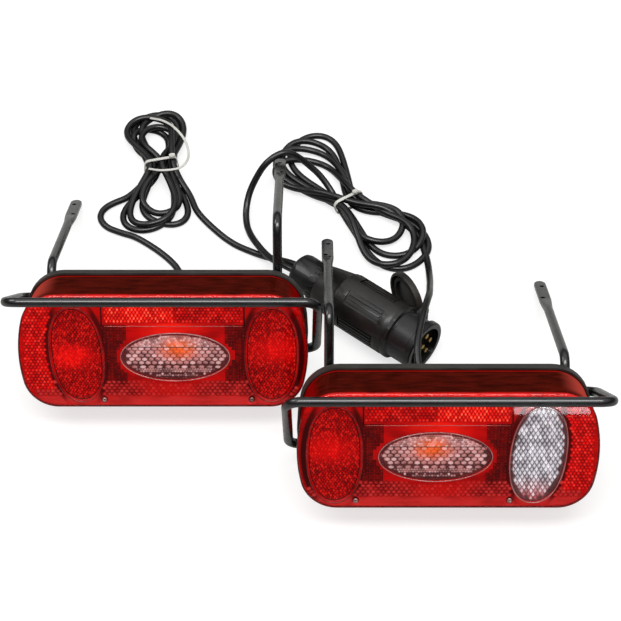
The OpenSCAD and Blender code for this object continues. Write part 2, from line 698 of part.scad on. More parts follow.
left_plug_route = [
    [3.4, 209.5, 25.5], [-8.9, 219.8, 25.5], [-20, 229, 21.5], [-31, 240, 13.5], [-42, 250, 6.5], [-54, 258.5, 3.4],
    [-67, 266, 3.2], [-79, 276, 3.2], [-91, 289, 3.2], [-102, 302, 4.4], [-111, 314, 6]
];

// Ring of points round point i of a route
function route_dir(p, i) = unit(p[min(i + 1, len(p) - 1)] - p[max(i - 1, 0)]);
function route_ring(p, i, r, n) =
    let(t = route_dir(p, i), s = unit(cross(t, [0, 0, 1])), u = cross(s, t))
    [for (k = [0 : n - 1]) p[i] + r * (cos(360 * k / n) * s + sin(360 * k / n) * u)];

module cable_tube(p, n = 10) color(RUBBER) {
    rings = len(p);
    points = [for (i = [0 : rings - 1]) each route_ring(p, i, cable_d / 2, n)];
    sides = [for (i = [0 : rings - 2], k = [0 : n - 1])
        [i * n + k, (i + 1) * n + k, (i + 1) * n + (k + 1) % n, i * n + (k + 1) % n]];
    first = [for (k = [0 : n - 1]) k];
    last = [for (k = [n - 1 : -1 : 0]) (rings - 1) * n + k];
    polyhedron(concat(points), concat(sides, [first], [last]), convexity = 6);
}

// Hank: two lobes drawn in at the tie, from end a over waist w to end b, each [x, y, radius]
module hank_outline(a, w, b) {
    hull() {
        translate([a[0], a[1]]) circle(r = a[2]);
        translate([w[0], w[1]]) circle(r = w[2]);
    }
    hull() {
        translate([w[0], w[1]]) circle(r = w[2]);
        translate([b[0], b[1]]) circle(r = b[2]);
    }
}

module tie_place(w, turn) translate([w[0], w[1], 0]) rotate([0, 0, turn]) children();

module tie_band(w, wide) translate([-wide / 2, -w[2], 0]) cube([wide, 2 * w[2], hank_h]);

module hank(a, w, b, turn) color(RUBBER) difference() {
    linear_extrude(hank_h) hank_outline(a, w, b);
    tie_place(w, turn) difference() {
        translate([-2, -w[2] - 5, -1]) cube([4, 2 * w[2] + 10, hank_h + 2]);
        translate([-3, -w[2] + tie_t + slim, tie_t + slim]) cube([6, 2 * (w[2] - tie_t - slim), hank_h - 2 * (tie_t + slim)]);
    }
}

module tie(w, turn) color(WHITE) tie_place(w, turn) difference() {
    tie_band(w, 3);
    translate([-3, -w[2] + tie_t, tie_t]) cube([6, 2 * (w[2] - tie_t), hank_h - 2 * tie_t]);
}

right_lobe_a = [-2, 383, 32];
right_waist = [34, 323, 13];
right_lobe_b = [72, 284, 34];
right_tie_turn = -52;
left_lobe_a = [-154, 424, 26];
left_waist = [-140, 368, 18];
left_lobe_b = [-143.5, 314, 30];
left_tie_turn = -95;

right_lamp() lamp_base();  // right_base
right_lamp() lamp_seal();  // right_seal
right_lamp() lamp_lens(true);  // right_lens
right_lamp() window(optic_x, centre_y, centre_a, centre_b, clear_pitch, [0]);  // right_indicator_window
right_lamp() window(outer_tall_x, tall_y, tall_a, tall_b, clear_pitch, [35, -35]);  // reversing_window
right_lamp() reflex_reflector();  // right_reflex_reflector
right_lamp() side_reflector();  // right_side_reflector
right_lamp() bulb_tray();  // right_bulb_tray
right_lamp() bulb_holders();  // right_bulb_holders
right_lamp() clear_bulbs();  // right_clear_bulbs
right_lamp() amber_bulb();  // right_amber_bulb
right_lamp() bulb_caps();  // right_bulb_caps
right_lamp() lens_screws();  // right_lens_screws
right_lamp() grommet();  // right_grommet
right_lamp() guard_bar();  // right_guard_bar
right_lamp() mounting_strip();  // right_mounting_strip
right_lamp() fixing_bolts();  // right_fixing_bolts
right_lamp() fixing_nuts();  // right_fixing_nuts
left_lamp() lamp_base();  // left_base
left_lamp() lamp_seal();  // left_seal
left_lamp() lamp_lens(false);  // left_lens
left_lamp() window(optic_x, centre_y, centre_a, centre_b, clear_pitch, [0]);  // left_indicator_window
left_lamp() reflex_reflector();  // left_reflex_reflector
left_lamp() side_reflector();  // left_side_reflector
left_lamp() bulb_tray();  // left_bulb_tray
left_lamp() bulb_holders();  // left_bulb_holders
left_lamp() clear_bulbs();  // left_clear_bulbs
left_lamp() amber_bulb();  // left_amber_bulb
left_lamp() bulb_caps();  // left_bulb_caps
left_lamp() lens_screws();  // left_lens_screws
left_lamp() grommet();  // left_grommet
left_lamp() guard_bar();  // left_guard_bar
left_lamp() mounting_strip();  // left_mounting_strip
left_lamp() fixing_bolts();  // left_fixing_bolts
left_lamp() fixing_nuts();  // left_fixing_nuts
gland_nut();
cable_seal();
knurled_ring();
rear_body();
grip_sleeve();
plug_insert();
plug_pins();
adapter_body();
adapter_insert();
adapter_pins();
adapter_cover();
cover_seal();
hinge_pin();
hinge_spring();
ground() cable_tube(left_lamp_route);  // left_cable_to_lamp
ground() cable_tube(left_plug_route);  // left_cable_to_plug
ground() hank(left_lobe_a, left_waist, left_lobe_b, left_tie_turn);  // left_hank
ground() tie(left_waist, left_tie_turn);  // left_tie
ground() cable_tube(right_lamp_route);  // right_cable_to_lamp
ground() cable_tube(right_plug_route);  // right_cable_to_plug
ground() hank(right_lobe_a, right_waist, right_lobe_b, right_tie_turn);  // right_hank
ground() tie(right_waist, right_tie_turn);  // right_tie
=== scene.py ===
import math
import bmesh
import bpy
import numpy as np
from mathutils import Matrix, Vector


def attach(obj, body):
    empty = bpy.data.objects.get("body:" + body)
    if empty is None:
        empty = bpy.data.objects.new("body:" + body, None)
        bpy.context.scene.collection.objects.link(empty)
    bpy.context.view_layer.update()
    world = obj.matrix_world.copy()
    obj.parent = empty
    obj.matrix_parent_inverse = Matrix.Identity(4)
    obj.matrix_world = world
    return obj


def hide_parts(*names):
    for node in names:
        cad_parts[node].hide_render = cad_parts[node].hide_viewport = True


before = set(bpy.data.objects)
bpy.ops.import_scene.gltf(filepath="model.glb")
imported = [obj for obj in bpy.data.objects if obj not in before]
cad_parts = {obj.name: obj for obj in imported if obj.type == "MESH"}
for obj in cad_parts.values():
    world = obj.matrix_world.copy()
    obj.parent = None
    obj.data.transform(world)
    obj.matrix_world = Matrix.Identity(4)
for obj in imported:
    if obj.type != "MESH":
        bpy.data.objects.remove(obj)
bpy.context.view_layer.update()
scene = bpy.context.scene

# The camera
# It looks down at 49 degrees from in front of the two lamps.
camera_data = bpy.data.cameras.new("view_camera")
sensor_w, focal_px, photo_px = 36, 1851.5, 621
camera_data.sensor_width = sensor_w
camera_data.lens = sensor_w * focal_px / photo_px
camera_data.clip_start = 0.05
camera_data.clip_end = 40
camera = bpy.data.objects.new("view_camera", camera_data)
camera.location = (0.0065, -1.0473, 1.2511)
camera.rotation_euler = (math.radians(41), 0, 0)
scene.collection.objects.link(camera)
scene.camera = camera


# The two cables
# Round black sheathed cable, 6.2 mm thick. Each leaves a lamp through its grommet, is folded
# into a tied hank of four or five turns and ends in the shared plug.
set_shift = np.array([0.0065, -0.14985, 0.0])
cable_d = 6.2


def metres(points):
    """Points on the set's ground plan, in millimetres, as places in the shared frame."""
    return np.array(points, float) / 1000 + set_shift


right_lamp_route = [
    (99, 26.1, 54.1), (99, 48.3, 41.8), (97.5, 58, 40), (94, 70, 41.5), (91, 84, 46), (90, 98, 50.5),
    (91, 112, 53.5), (94, 128, 54.5), (97.5, 144, 53), (101, 160, 48), (104, 176, 39.5), (105.5, 193, 28),
    (107, 211, 16), (107.5, 230, 7), (107.3, 246, 3.4), (105.4, 257, 3.4), (103.3, 265, 4)]
right_plug_route = [
    (-1, 204, 25.5), (-13, 214, 25.5), (-24, 224, 23), (-34, 235, 18.5), (-42, 247, 15), (-49, 260, 12.5),
    (-55, 275, 8.5), (-59, 291, 5.5), (-60, 307, 8), (-57, 320, 17.5), (-50, 329, 30), (-41, 335, 42),
    (-28, 341, 48.5), (-16, 344, 45.5), (-5, 343.5, 36), (4, 340.5, 27), (14, 336, 21.4)]
left_lamp_route = [
    (-112, 128.7, 54.1), (-112, 151, 41.8), (-112, 168, 32.5), (-112, 186, 22), (-113, 205, 11),
    (-116, 223, 4.4), (-122, 239, 3.2), (-133, 253, 3.2), (-147, 266, 3.2), (-162, 277, 3.2),
    (-176, 283, 3.2), (-189, 290, 3.2), (-197, 300, 3.2), (-197, 312, 3.2), (-189, 320, 4), (-178, 323, 5)]
left_plug_route = [
    (3.4, 209.5, 25.5), (-8.9, 219.8, 25.5), (-20, 229, 21.5), (-31, 240, 13.5), (-42, 250, 6.5),
    (-54, 258.5, 3.4), (-67, 266, 3.2), (-79, 276, 3.2), (-91, 289, 3.2), (-102, 302, 4.4), (-111, 314, 6)]


def run_along(line):
    """How far along a line each of its points lies."""
    return np.concatenate([[0], np.cumsum(np.linalg.norm(np.diff(line, axis=0), axis=1))])


def smooth_line(points, step):
    """Points every step along a smooth line through the given ones, and how far along it each of those lies."""
    given = np.array(points, float)
    p = np.vstack([2 * given[0] - given[1], given, 2 * given[-1] - given[-2]])
    line = []
    for i in range(1, len(p) - 2):
        for t in np.linspace(0, 1, 12, endpoint=False):
            line.append(0.5 * (2 * p[i] + (p[i + 1] - p[i - 1]) * t
                               + (2 * p[i - 1] - 5 * p[i] + 4 * p[i + 1] - p[i + 2]) * t ** 2
                               + (3 * p[i] - p[i - 1] - 3 * p[i + 1] + p[i + 2]) * t ** 3))
    line = np.array(line + [given[-1]])
    run = run_along(line)
    marks = np.linspace(0, run[-1], int(run[-1] / step) + 1)
    return np.stack([np.interp(marks, run, line[:, k]) for k in range(3)], axis=1), run[::12]


def waist_frame(waist, tip):
    """The middle of a hank's waist, the way to its tip and the way across it."""
    w = np.array(waist[:2], float)
    u = np.array(tip[:2], float) - w
    u /= np.linalg.norm(u)
    return w, u, np.array([-u[1], u[0]])


def lobe_keys(waist, tip, hand, reach, half, lean, lane, height, part=(0, 9)):
    """Key points round one lobe of a hank, from one side of its waist to the other."""
    w, u, s = waist_frame(waist, tip)
    keys = []
    bend = half / reach
    for along, across in ((0, -lane / half), (0.3, -0.55), (1 - bend, -1), (1 - 0.29 * bend, -0.71), (1, 0),
                          (1 - 0.29 * bend, 0.71), (1 - bend, 1), (0.3, 0.55), (0, lane / half))[part[0]:part[1]]:
        xy = w + u * along * reach + s * hand * (across * half + lean * along * along)
        keys.append((xy[0], xy[1], height))
    return keys


def relaxed(p):
    """The line without its short waves, as a stiff cable would lie."""
    reach = np.arange(-8, 9)
    weight = np.exp(-reach ** 2 / 12)
    long = np.vstack([np.repeat(p[:1], 8, 0), p, np.repeat(p[-1:], 8, 0)])
    return np.stack([np.convolve(long[:, k], weight / weight.sum(), "valid") for k in range(3)], 1)


def settle(line, loose, waist, tip, rounds=260):
    """Lets the loose points sink until the turns rest on the ground and on each other, drawn in at the tie."""
    p = line.copy()
    home = line[:, :2].copy()
    free = np.convolve(loose, np.ones(25) / 25, "same")
    apart = np.abs(np.subtract.outer(np.arange(len(p)), np.arange(len(p)))) > 4
    w, u, s = waist_frame(waist, tip)
    touch, tie_reach, tie_height = cable_d + 0.1, 9, 18
    for i in range(rounds):
        d = p[:, None] - p[None]
        dist = np.linalg.norm(d, axis=2) + 1e-6
        push = np.where(apart & (dist < touch), (touch - dist) / dist * 0.5, 0)
        move = (d * push[..., None]).sum(1) * 0.7
        p[loose] += np.clip(move, -0.8, 0.8)[loose]
        if i < rounds - 40:
            p[loose, 2] -= 0.22
        middle = np.zeros_like(p)
        middle[1:-1] = (p[:-2] + p[2:]) / 2 - p[1:-1]
        p[loose] += 0.4 * middle[loose]
        p[loose, :2] += 0.06 * (home - p[:, :2])[loose]
        rel = p[:, :2] - w
        tied = loose & (np.abs(rel @ u) < tie_reach)
        across = np.clip(rel @ s, -waist[2] + cable_d / 2 + 1, waist[2] - cable_d / 2 - 1)
        p[tied, :2] += 0.25 * (w + np.outer(rel @ u, u) + np.outer(across, s) - p[:, :2])[tied]
        p[tied, :2] += 0.2 * (home - p[:, :2])[tied]
        p[tied, 2] += 0.25 * (np.clip(p[:, 2], cable_d / 2 + 0.9, tie_height - cable_d / 2 - 1) - p[:, 2])[tied]
        if i in (rounds - 90, rounds - 50, rounds - 20, rounds - 1):
            p += free[:, None] * (relaxed(p) - p)
        p[:, 2] = np.maximum(p[:, 2], cable_d / 2 + 0.15)
    return p


def hank_cable(first, turns, last, waist, tip):
    """One cable's centreline: its first free stretch, its settled turns and its last free stretch."""
    line, knots = smooth_line(first + turns + last, 4.0)
    run = np.linspace(0, knots[-1], len(line))
    loose = (run > knots[len(first) - 1]) & (run < knots[len(first) + len(turns)])
    return settle(line, loose, waist, tip)


right_tip, right_waist, right_near = (-2, 378, 32), (35, 316, 13), (72, 279, 34)
turns = []
for k, (far_reach, far_half, far_lean, near_reach, near_half, near_lean) in enumerate((
        (104, 28, -16, 98, 32, -6), (100, 28, 2, 86, 28, 6), (94, 28, 16, 64, 27, 2), (82, 27, 28, 90, 30, -16))):
    lane = (9, 3, 6.5, 9.5)[k]
    low = 3.2 + 5.5 * k
    turns += lobe_keys(right_waist, right_near, 1, near_reach, near_half, near_lean, lane, low, (0, 8))
    turns += lobe_keys(right_waist, right_tip, 1, far_reach, far_half, far_lean, lane, low + 2, (0, 8))
turns = turns[1:]
turns.append((right_waist[0] - 4, right_waist[1] - 1, 21))
turns += lobe_keys(right_waist, right_near, 1, 84, 27, 0, 5, 20, (7, 8))
turns += [(86, 300, 14), (100, 282, 8)]
right_line = hank_cable(right_plug_route, turns, right_lamp_route[::-1], right_waist, right_tip)[::-1]

left_tip, left_waist, left_near = (-154, 424, 26), (-141, 366, 16), (-143.5, 314, 30)
turns = [(-167, 326, 6), (-159, 336, 8), (-153, 352, 8)]
for k, (far_reach, far_half, far_lean, near_reach, near_half, near_lean) in enumerate((
        (80, 26, 5, 84, 26, 16), (62, 20, -9, 76, 25, -16), (76, 24, 14, 66, 22, -4), (58, 21, 4, 82, 24, 8),
        (72, 24, -10, 71, 25, -12))):
    lane = (10, 1.5, 6.5, -4, 9)[k]
    low = 3.2 + 5.5 * k
    turns += lobe_keys(left_waist, left_tip, -1, far_reach, far_half, far_lean, lane, low, (0, 8))
    part = (0, 8) if k < 4 else (0, 2)
    turns += lobe_keys(left_waist, left_near, -1, near_reach, near_half, near_lean, lane, low + 2, part)
turns.append((-115.5, 334, 16))
left_line = hank_cable(left_lamp_route, turns, left_plug_route[::-1], left_waist, left_tip)


def linear(red, green, blue):
    """A colour as it shows on a screen, 0 to 255, in the shaders' linear values."""
    shown = (red, green, blue)
    return tuple(((v / 255 + 0.055) / 1.055) ** 2.4 if v > 10 else v / 3294.6 for v in shown) + (1.0,)


class Wire:
    """A shader socket whose arithmetic adds Math nodes; node() adds any other node to the same tree."""

    def __init__(self, tree, socket=None):
        self.tree, self.socket = tree, socket

    def node(self, kind, settings, inputs, output=0):
        made = self.tree.nodes.new("ShaderNode" + kind)
        for name, value in settings.items():
            setattr(made, name, value)
        for name, value in inputs.items():
            if isinstance(value, Wire):
                self.tree.links.new(value.socket, made.inputs[name])
            else:
                made.inputs[name].default_value = value
        return Wire(self.tree, made.outputs[output] if made.outputs else None)

    def maths(self, operation, *values):
        return self.node("Math", {"operation": operation}, dict(enumerate(values)))

    def __add__(self, other):
        return self.maths("ADD", self, other)

    def __sub__(self, other):
        return self.maths("SUBTRACT", self, other)

    def __rsub__(self, other):
        return self.maths("SUBTRACT", other, self)

    def __mul__(self, other):
        return self.maths("MULTIPLY", self, other)

    __radd__, __rmul__ = __add__, __mul__

    def __truediv__(self, other):
        return self.maths("DIVIDE", self, other)

    def step(self, low, high):
        """0 below low and 1 above high, with a soft rise between them."""
        return self.node("MapRange", {"interpolation_type": "SMOOTHSTEP"}, {0: self, 1: low, 2: high})

    def tint(self, low, high):
        """The colour low where this value is 0 and high where it is 1."""
        return self.node("Mix", {"data_type": "RGBA"}, {0: self, 6: low, 7: high}, 2)

    def noise(self, scale, detail=2.0):
        """Noise at this place, with scale patches to the metre."""
        return self.node("TexNoise", {}, {"Vector": self, "Scale": scale, "Detail": detail})


def new_material(name):
    made = bpy.data.materials.new(name)
    made.use_nodes = True
    made.node_tree.nodes.clear()
    return made, Wire(made.node_tree)


def finish(name, dark, light, rough, grain, bump, metal=0.0, patch=45.0, coat=0.0):
    """A moulded, drawn or coated finish: mottled between two colours, with patchy gloss and a fine grain."""
    made, paint = new_material(name)
    place = paint.node("TexCoord", {}, {}, "Object")
    mottle = place.noise(patch, 5.0).step(0.3, 0.72)
    fine = place.noise(grain, 3.0)
    relief = fine + 0.4 * place.noise(grain / 6)
    normal = paint.node("Bump", {}, {"Strength": bump, "Distance": 0.0004, "Height": relief})
    shader = paint.node("BsdfPrincipled", {}, {
        "Base Color": (0.75 * mottle + 0.25 * fine).tint(linear(*dark), linear(*light)),
        "Roughness": rough[0] + (rough[1] - rough[0]) * mottle, "Metallic": metal, "Normal": normal,
        "Coat Weight": coat, "Coat Roughness": 0.12})
    paint.node("OutputMaterial", {}, {"Surface": shader})
    return made


cable_sheath = finish("cable_sheath", (8, 8, 8), (19, 19, 18), (0.26, 0.4), 1400.0, 0.16, 0.0, 45.0, 0.35)


def piece(name, mesh, material, body, replaced=()):
    """An object at the origin that rides on a body, with its finish and the CAD pieces it stands for."""
    made = bpy.data.objects.new(name, mesh)
    scene.collection.objects.link(made)
    if material:
        made.data.materials.clear()
        made.data.materials.append(material)
    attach(made, body)
    if replaced:
        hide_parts(*replaced)
    return made


def cable_piece(name, line, replaced):
    """A round cable along a centreline, as one smooth curve."""
    places = metres(line[::2] if len(line) % 2 else np.vstack([line[:-1:2], line[-1:]]))
    curve = bpy.data.curves.new(name, "CURVE")
    curve.dimensions = "3D"
    curve.bevel_depth = cable_d / 2000
    curve.bevel_resolution = 4
    curve.resolution_u = 3
    curve.use_fill_caps = True
    spline = curve.splines.new("BEZIER")
    spline.bezier_points.add(len(places) - 1)
    for point, place in zip(spline.bezier_points, places):
        point.co = place
        point.handle_left_type = point.handle_right_type = "AUTO"
    made = piece(name, curve, cable_sheath, "set", replaced)
    return made, float(np.linalg.norm(np.diff(metres(line), axis=0), axis=1).sum())


right_cable, right_length = cable_piece(
    "right_cable", right_line, ("right_cable_to_lamp", "right_cable_to_plug", "right_hank"))
left_cable, left_length = cable_piece(
    "left_cable", left_line, ("left_cable_to_lamp", "left_cable_to_plug", "left_hank"))


# The two cable ties
# Thin off-white nylon bands drawn round the waist of each hank. The left one keeps its long thin
# tail, which arches over the turns.
tie_nylon = finish("tie_nylon", (196, 194, 186), (226, 225, 219), (0.35, 0.5), 1600.0, 0.12)


def ribbon(name, path, across, wide, thick, closed):
    """A flat band of rectangular section along a path; across is the direction of its width at each point."""
    path, across = np.array(path, float), np.array(across, float)
    across = across / np.linalg.norm(across, axis=1)[:, None]
    ahead, behind = (np.roll(path, -1, 0), np.roll(path, 1, 0)) if closed else (
        np.vstack([path[1:], path[-1:]]), np.vstack([path[:1], path[:-1]]))
    run = ahead - behind
    out = np.cross(run / np.linalg.norm(run, axis=1)[:, None], across)
    out /= np.linalg.norm(out, axis=1)[:, None]
    rings = np.stack([path + across * a * wide / 2 + out * b * thick / 2
                      for a, b in ((1, 1), (-1, 1), (-1, -1), (1, -1))], 1)
    count = len(path)
    faces = [(4 * i + k, 4 * i + (k + 1) % 4, 4 * ((i + 1) % count) + (k + 1) % 4, 4 * ((i + 1) % count) + k)
             for i in range(count if closed else count - 1) for k in range(4)]
    if not closed:
        faces += [(3, 2, 1, 0), tuple(4 * count - 4 + k for k in range(4))]
    mesh = bpy.data.meshes.new(name)
    mesh.from_pydata([tuple(v) for v in metres(rings.reshape(-1, 3))], [], faces)
    work = bmesh.new()
    work.from_mesh(mesh)
    bmesh.ops.recalc_face_normals(work, faces=work.faces)
    bmesh.ops.bevel(work, geom=[e for e in work.edges if e.calc_face_angle(0) > 1], offset=0.00018, segments=1,
                    affect="EDGES")
    work.to_mesh(mesh)
    work.free()
    return mesh


def mesh_of(work, name):
    """The mesh of a finished bmesh, which is let go."""
    mesh = bpy.data.meshes.new(name)
    work.to_mesh(mesh)
    work.free()
    return mesh


def tie_loop(line, waist, tip, wide):
    """Path of a band pulled snug round the turns where they pass the waist, and the direction of its width."""
    w, u, s = waist_frame(waist, tip)
    rel = line[:, :2] - w
    near = (np.abs(rel @ u) < wide + 2) & (np.abs(rel @ s) < waist[2] + 6)
    a, z = (rel @ s)[near], line[near, 2]
    radius = cable_d / 2 + 0.75
    loop = []
    for t in np.linspace(0, 2 * math.pi, 72, endpoint=False):
        c, n = math.cos(t), math.sin(t)
        k = int(np.argmax(a * c + z * n))
        loop.append((a[k] + radius * c, max(z[k] + radius * n, 0.5)))
    loop = np.array(loop)
    run = run_along(np.vstack([loop, loop[:1]]))
    marks = np.linspace(0, run[-1], 64, endpoint=False)
    aa, zz = (np.interp(marks, run, np.append(loop[:, k], loop[0, k])) for k in range(2))
    path = np.column_stack([w[0] + s[0] * aa, w[1] + s[1] * aa, zz])
    return path, np.tile([u[0], u[1], 0.0], (len(path), 1)), (w, u, s, aa.max(), zz.max())


for side, line, waist, tip in (("right", right_line, right_waist, right_tip),
                               ("left", left_line, left_waist, left_tip)):
    loop, width_way, (w, u, s, reach, top) = tie_loop(line, waist, tip, 3.0)
    band = ribbon(side + "_tie_band", loop, width_way, 3.0, 0.9, True)
    piece(side + "_tie_band", band, tie_nylon, "set", (side + "_tie",))
    at = w + s * (-reach * 0.55)
    head = bmesh.new()
    bmesh.ops.create_cube(head, size=1.0)
    bmesh.ops.bevel(head, geom=head.edges[:], offset=0.16, segments=2, affect="EDGES")
    turn = Matrix.Rotation(math.atan2(u[1], u[0]), 4, "Z")
    head_size = Matrix.Diagonal((0.0046, 0.0056, 0.0036, 1))
    place = Matrix.Translation(Vector(metres((at[0], at[1], top + 1.4)))) @ turn @ head_size
    bmesh.ops.transform(head, matrix=place, verts=head.verts)
    piece(side + "_tie_head", mesh_of(head, side + "_tie_head"), tie_nylon, "set")

tail_keys = [(-153, 353, 17), (-140, 347, 21), (-124, 350, 21), (-117, 362, 19), (-116.5, 376, 18), (-121, 392, 18),
             (-131, 408, 18), (-143, 419, 17), (-156, 426, 14)]
tail, _ = smooth_line(tail_keys, 2.0)
tail_run = np.gradient(tail, axis=0)
tail_side = np.column_stack([-tail_run[:, 1], tail_run[:, 0], np.zeros(len(tail))])
piece("left_tie_tail", ribbon("left_tie_tail", tail, tail_side, 2.4, 0.8, False), tie_nylon, "set")


# The plug and its adapter
# A round screw-together plug of black glass-filled nylon with a ribbed grip sleeve, pushed into a
# short adapter of the same nylon whose sprung cover stands open. Pins of brass, hinge of steel.
plug_nylon = finish("plug_nylon", (17, 15, 14), (38, 34, 31), (0.34, 0.52), 900.0, 0.2, 0.0, 45.0, 0.15)
ring_nylon = finish("ring_nylon", (13, 13, 14), (30, 28, 27), (0.26, 0.42), 900.0, 0.18, 0.0, 45.0, 0.3)
cover_nylon = finish("cover_nylon", (22, 19, 16), (46, 40, 34), (0.34, 0.5), 1100.0, 0.2)
soft_rubber = finish("soft_rubber", (16, 16, 16), (30, 30, 30), (0.55, 0.75), 1200.0, 0.2)
pin_brass = finish("pin_brass", (176, 140, 70), (214, 182, 108), (0.22, 0.36), 1500.0, 0.06, 1.0)
zinc_steel = finish("zinc_steel", (120, 120, 124), (172, 171, 168), (0.28, 0.45), 1300.0, 0.08, 1.0)


def as_shaped(thing):
    """The mesh of an object with its modifiers carried out."""
    return bpy.data.meshes.new_from_object(thing.evaluated_get(bpy.context.evaluated_depsgraph_get()))


def dressed(node, material, body, round_off=0.0, angle=32):
    """A merged copy of a CAD piece with broken edges and smooth curves, which stands for it."""
    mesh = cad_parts[node].data.copy()
    work = bmesh.new()
    work.from_mesh(mesh)
    bmesh.ops.remove_doubles(work, verts=work.verts, dist=1e-6)
    bmesh.ops.dissolve_limit(work, angle_limit=math.radians(0.6), verts=work.verts, edges=work.edges)
    for face in work.faces:
        face.smooth = True
    work.to_mesh(mesh)
    work.free()
    mesh.set_sharp_from_angle(angle=math.radians(angle))
    mesh.name = node + "_dressed"
    made = bpy.data.objects.new(node + "_dressed", mesh)
    scene.collection.objects.link(made)
    if round_off:
        bevel = made.modifiers.new("broken_edges", "BEVEL")
        bevel.width = round_off / 1000
        bevel.segments = 2
        bevel.limit_method = "ANGLE"
        bevel.angle_limit = math.radians(angle)
        bevel.use_clamp_overlap = True
        bevel.harden_normals = True
        done = as_shaped(made)
        made.modifiers.clear()
        made.data = done
    made.data.materials.clear()
    made.data.materials.append(material)
    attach(made, body)
    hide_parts(node)
    return made


def painted(material, *nodes):
    """Gives CAD pieces whose shape is right their finish."""
    for node in nodes:
        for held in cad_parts[node].material_slots:
            held.material = material


gland = dressed("gland_nut", ring_nylon, "set", 0.35)
ring = dressed("knurled_ring", ring_nylon, "set", 0.25)
rear = dressed("rear_body", plug_nylon, "set", 0.3)
sleeve = dressed("grip_sleeve", plug_nylon, "set", 0.3)
dressed("adapter_body", ring_nylon, "set", 0.3)
dressed("adapter_cover", cover_nylon, "cover", 0.3)
painted(soft_rubber, "cable_seal", "cover_seal")
painted(plug_nylon, "plug_insert", "adapter_insert")
painted(pin_brass, "plug_pins", "adapter_pins")
painted(zinc_steel, "hinge_pin", "hinge_spring")


# The lamp bases
# Black polypropylene trays with a rim all round that takes the lens and its seal. The back shows
# from behind, with the strip and the grommet on it.
lean_back = 61
lamp_turn = Matrix.Rotation(math.radians(lean_back), 4, "X")
millimetre = Matrix.Diagonal((0.001, 0.001, 0.001, 1))
mirror = Matrix.Diagonal((-1, 1, 1, 1))
lamp_places = {
    "right": Matrix.Translation((0.1155, -0.14985, 0)) @ lamp_turn @ millimetre,
    "left": Matrix.Translation((-0.1155, -0.04725, 0)) @ lamp_turn @ mirror @ millimetre}
base_plastic = finish("base_plastic", (34, 32, 31), (62, 59, 55), (0.4, 0.58), 800.0, 0.2)
tray_plastic = finish("tray_plastic", (205, 205, 200), (232, 232, 228), (0.2, 0.34), 900.0, 0.06)
for side in lamp_places:
    dressed(side + "_base", base_plastic, "set", 0.3)
    painted(soft_rubber, side + "_seal", side + "_grommet")
    painted(tray_plastic, side + "_bulb_tray")
    painted(zinc_steel, side + "_bulb_holders")
    painted(pin_brass, side + "_bulb_caps")


# The bulbs
# Two clear glass bulbs stand along the lamp's height behind the tall optics, and an amber one lies
# across it behind the centre window. They are seen only with a lens off.
def glassy(name, colour, see_through, rough, sheen=(255, 255, 255)):
    """Thin glass or clear moulding: it lets most light straight through and mirrors the rest at its edges."""
    made, paint = new_material(name)
    clear = paint.node("BsdfTransparent", {}, {"Color": linear(*colour)})
    gloss = paint.node("BsdfAnisotropic", {"distribution": "GGX"}, {"Color": linear(*sheen), "Roughness": rough})
    edge = paint.node("Fresnel", {}, {"IOR": see_through})
    shader = paint.node("MixShader", {}, {0: edge, 1: clear, 2: gloss})
    paint.node("OutputMaterial", {}, {"Surface": shader})
    return made


bulb_glass = glassy("bulb_glass", (238, 240, 240), 1.5, 0.03)
amber_glass = glassy("amber_glass", (236, 140, 40), 1.5, 0.05)
for side in lamp_places:
    painted(bulb_glass, side + "_clear_bulbs")
    painted(amber_glass, side + "_amber_bulb")


# The lenses
# Each is one clear red acrylic moulding, welded or screwed to its base, with a smooth glossy
# outside. Its prisms are moulded on the inside of the face.
lamp_w, lamp_h, lamp_d, corner_r, end_r = 240, 107, 54.5, 32, 130
lens_in, lens_draft, edge_r, lens_z = 1.8, 2, 2.4, 8.4
optic_x, centre_y, tall_y = -10, 49, 51
centre_a, centre_b, tall_a, tall_b = 45, 21, 22, 41.5
inner_tall_x, outer_tall_x = -90, 71.5


def lamp_outline(inset):
    """The lamp's outline: four corner arcs and two slightly bulging ends, inset by a distance."""
    r, e = corner_r - inset, end_r - inset
    ex = lamp_w / 2 - inset - e
    cy = lamp_h / 2 - inset - r
    cx = ex + math.sqrt((e - r) ** 2 - cy * cy)
    t = math.degrees(math.atan2(cy, cx - ex))
    points = []
    for x, y, radius, a0, a1, n in ((ex, 0, e, -t, t, 12), (cx, cy, r, t, 90, 18), (-cx, cy, r, 90, 180 - t, 18),
                                    (-ex, 0, e, 180 - t, 180 + t, 12), (-cx, -cy, r, 180 + t, 270, 18),
                                    (cx, -cy, r, 270, 360 - t, 18)):
        for i in range(n + (1 if a1 in (90, 270) else 0)):
            a = math.radians(a0 + (a1 - a0) * i / n)
            points.append((x + radius * math.cos(a), y + radius * math.sin(a) + lamp_h / 2))
    return np.array(points)


def lens_ring(inset, z):
    """The outline at one level of the lens, whose ends stand out a little towards the face."""
    ring = lamp_outline(inset)
    grow = 0.0275 * min(max((z - lens_z) / (lamp_d - lens_z), 0), 1)
    belly = 1.1 * np.clip((np.abs(ring[:, 0]) - 60) / 50, 0, 1) * (1 - ((ring[:, 1] - lamp_h / 2) / lamp_h * 2) ** 2)
    ring[:, 0] += np.sign(ring[:, 0]) * (np.abs(ring[:, 0]) + 30 * belly) * grow
    return ring


def ellipse(x, y, a, b, count=72):
    t = np.linspace(0, 2 * math.pi, count, endpoint=False)
    return np.column_stack([x + a * np.cos(t), y + b * np.sin(t)])


tall_lean = {inner_tall_x: 0.0, outer_tall_x: 0.08}
tall_power = 2.25


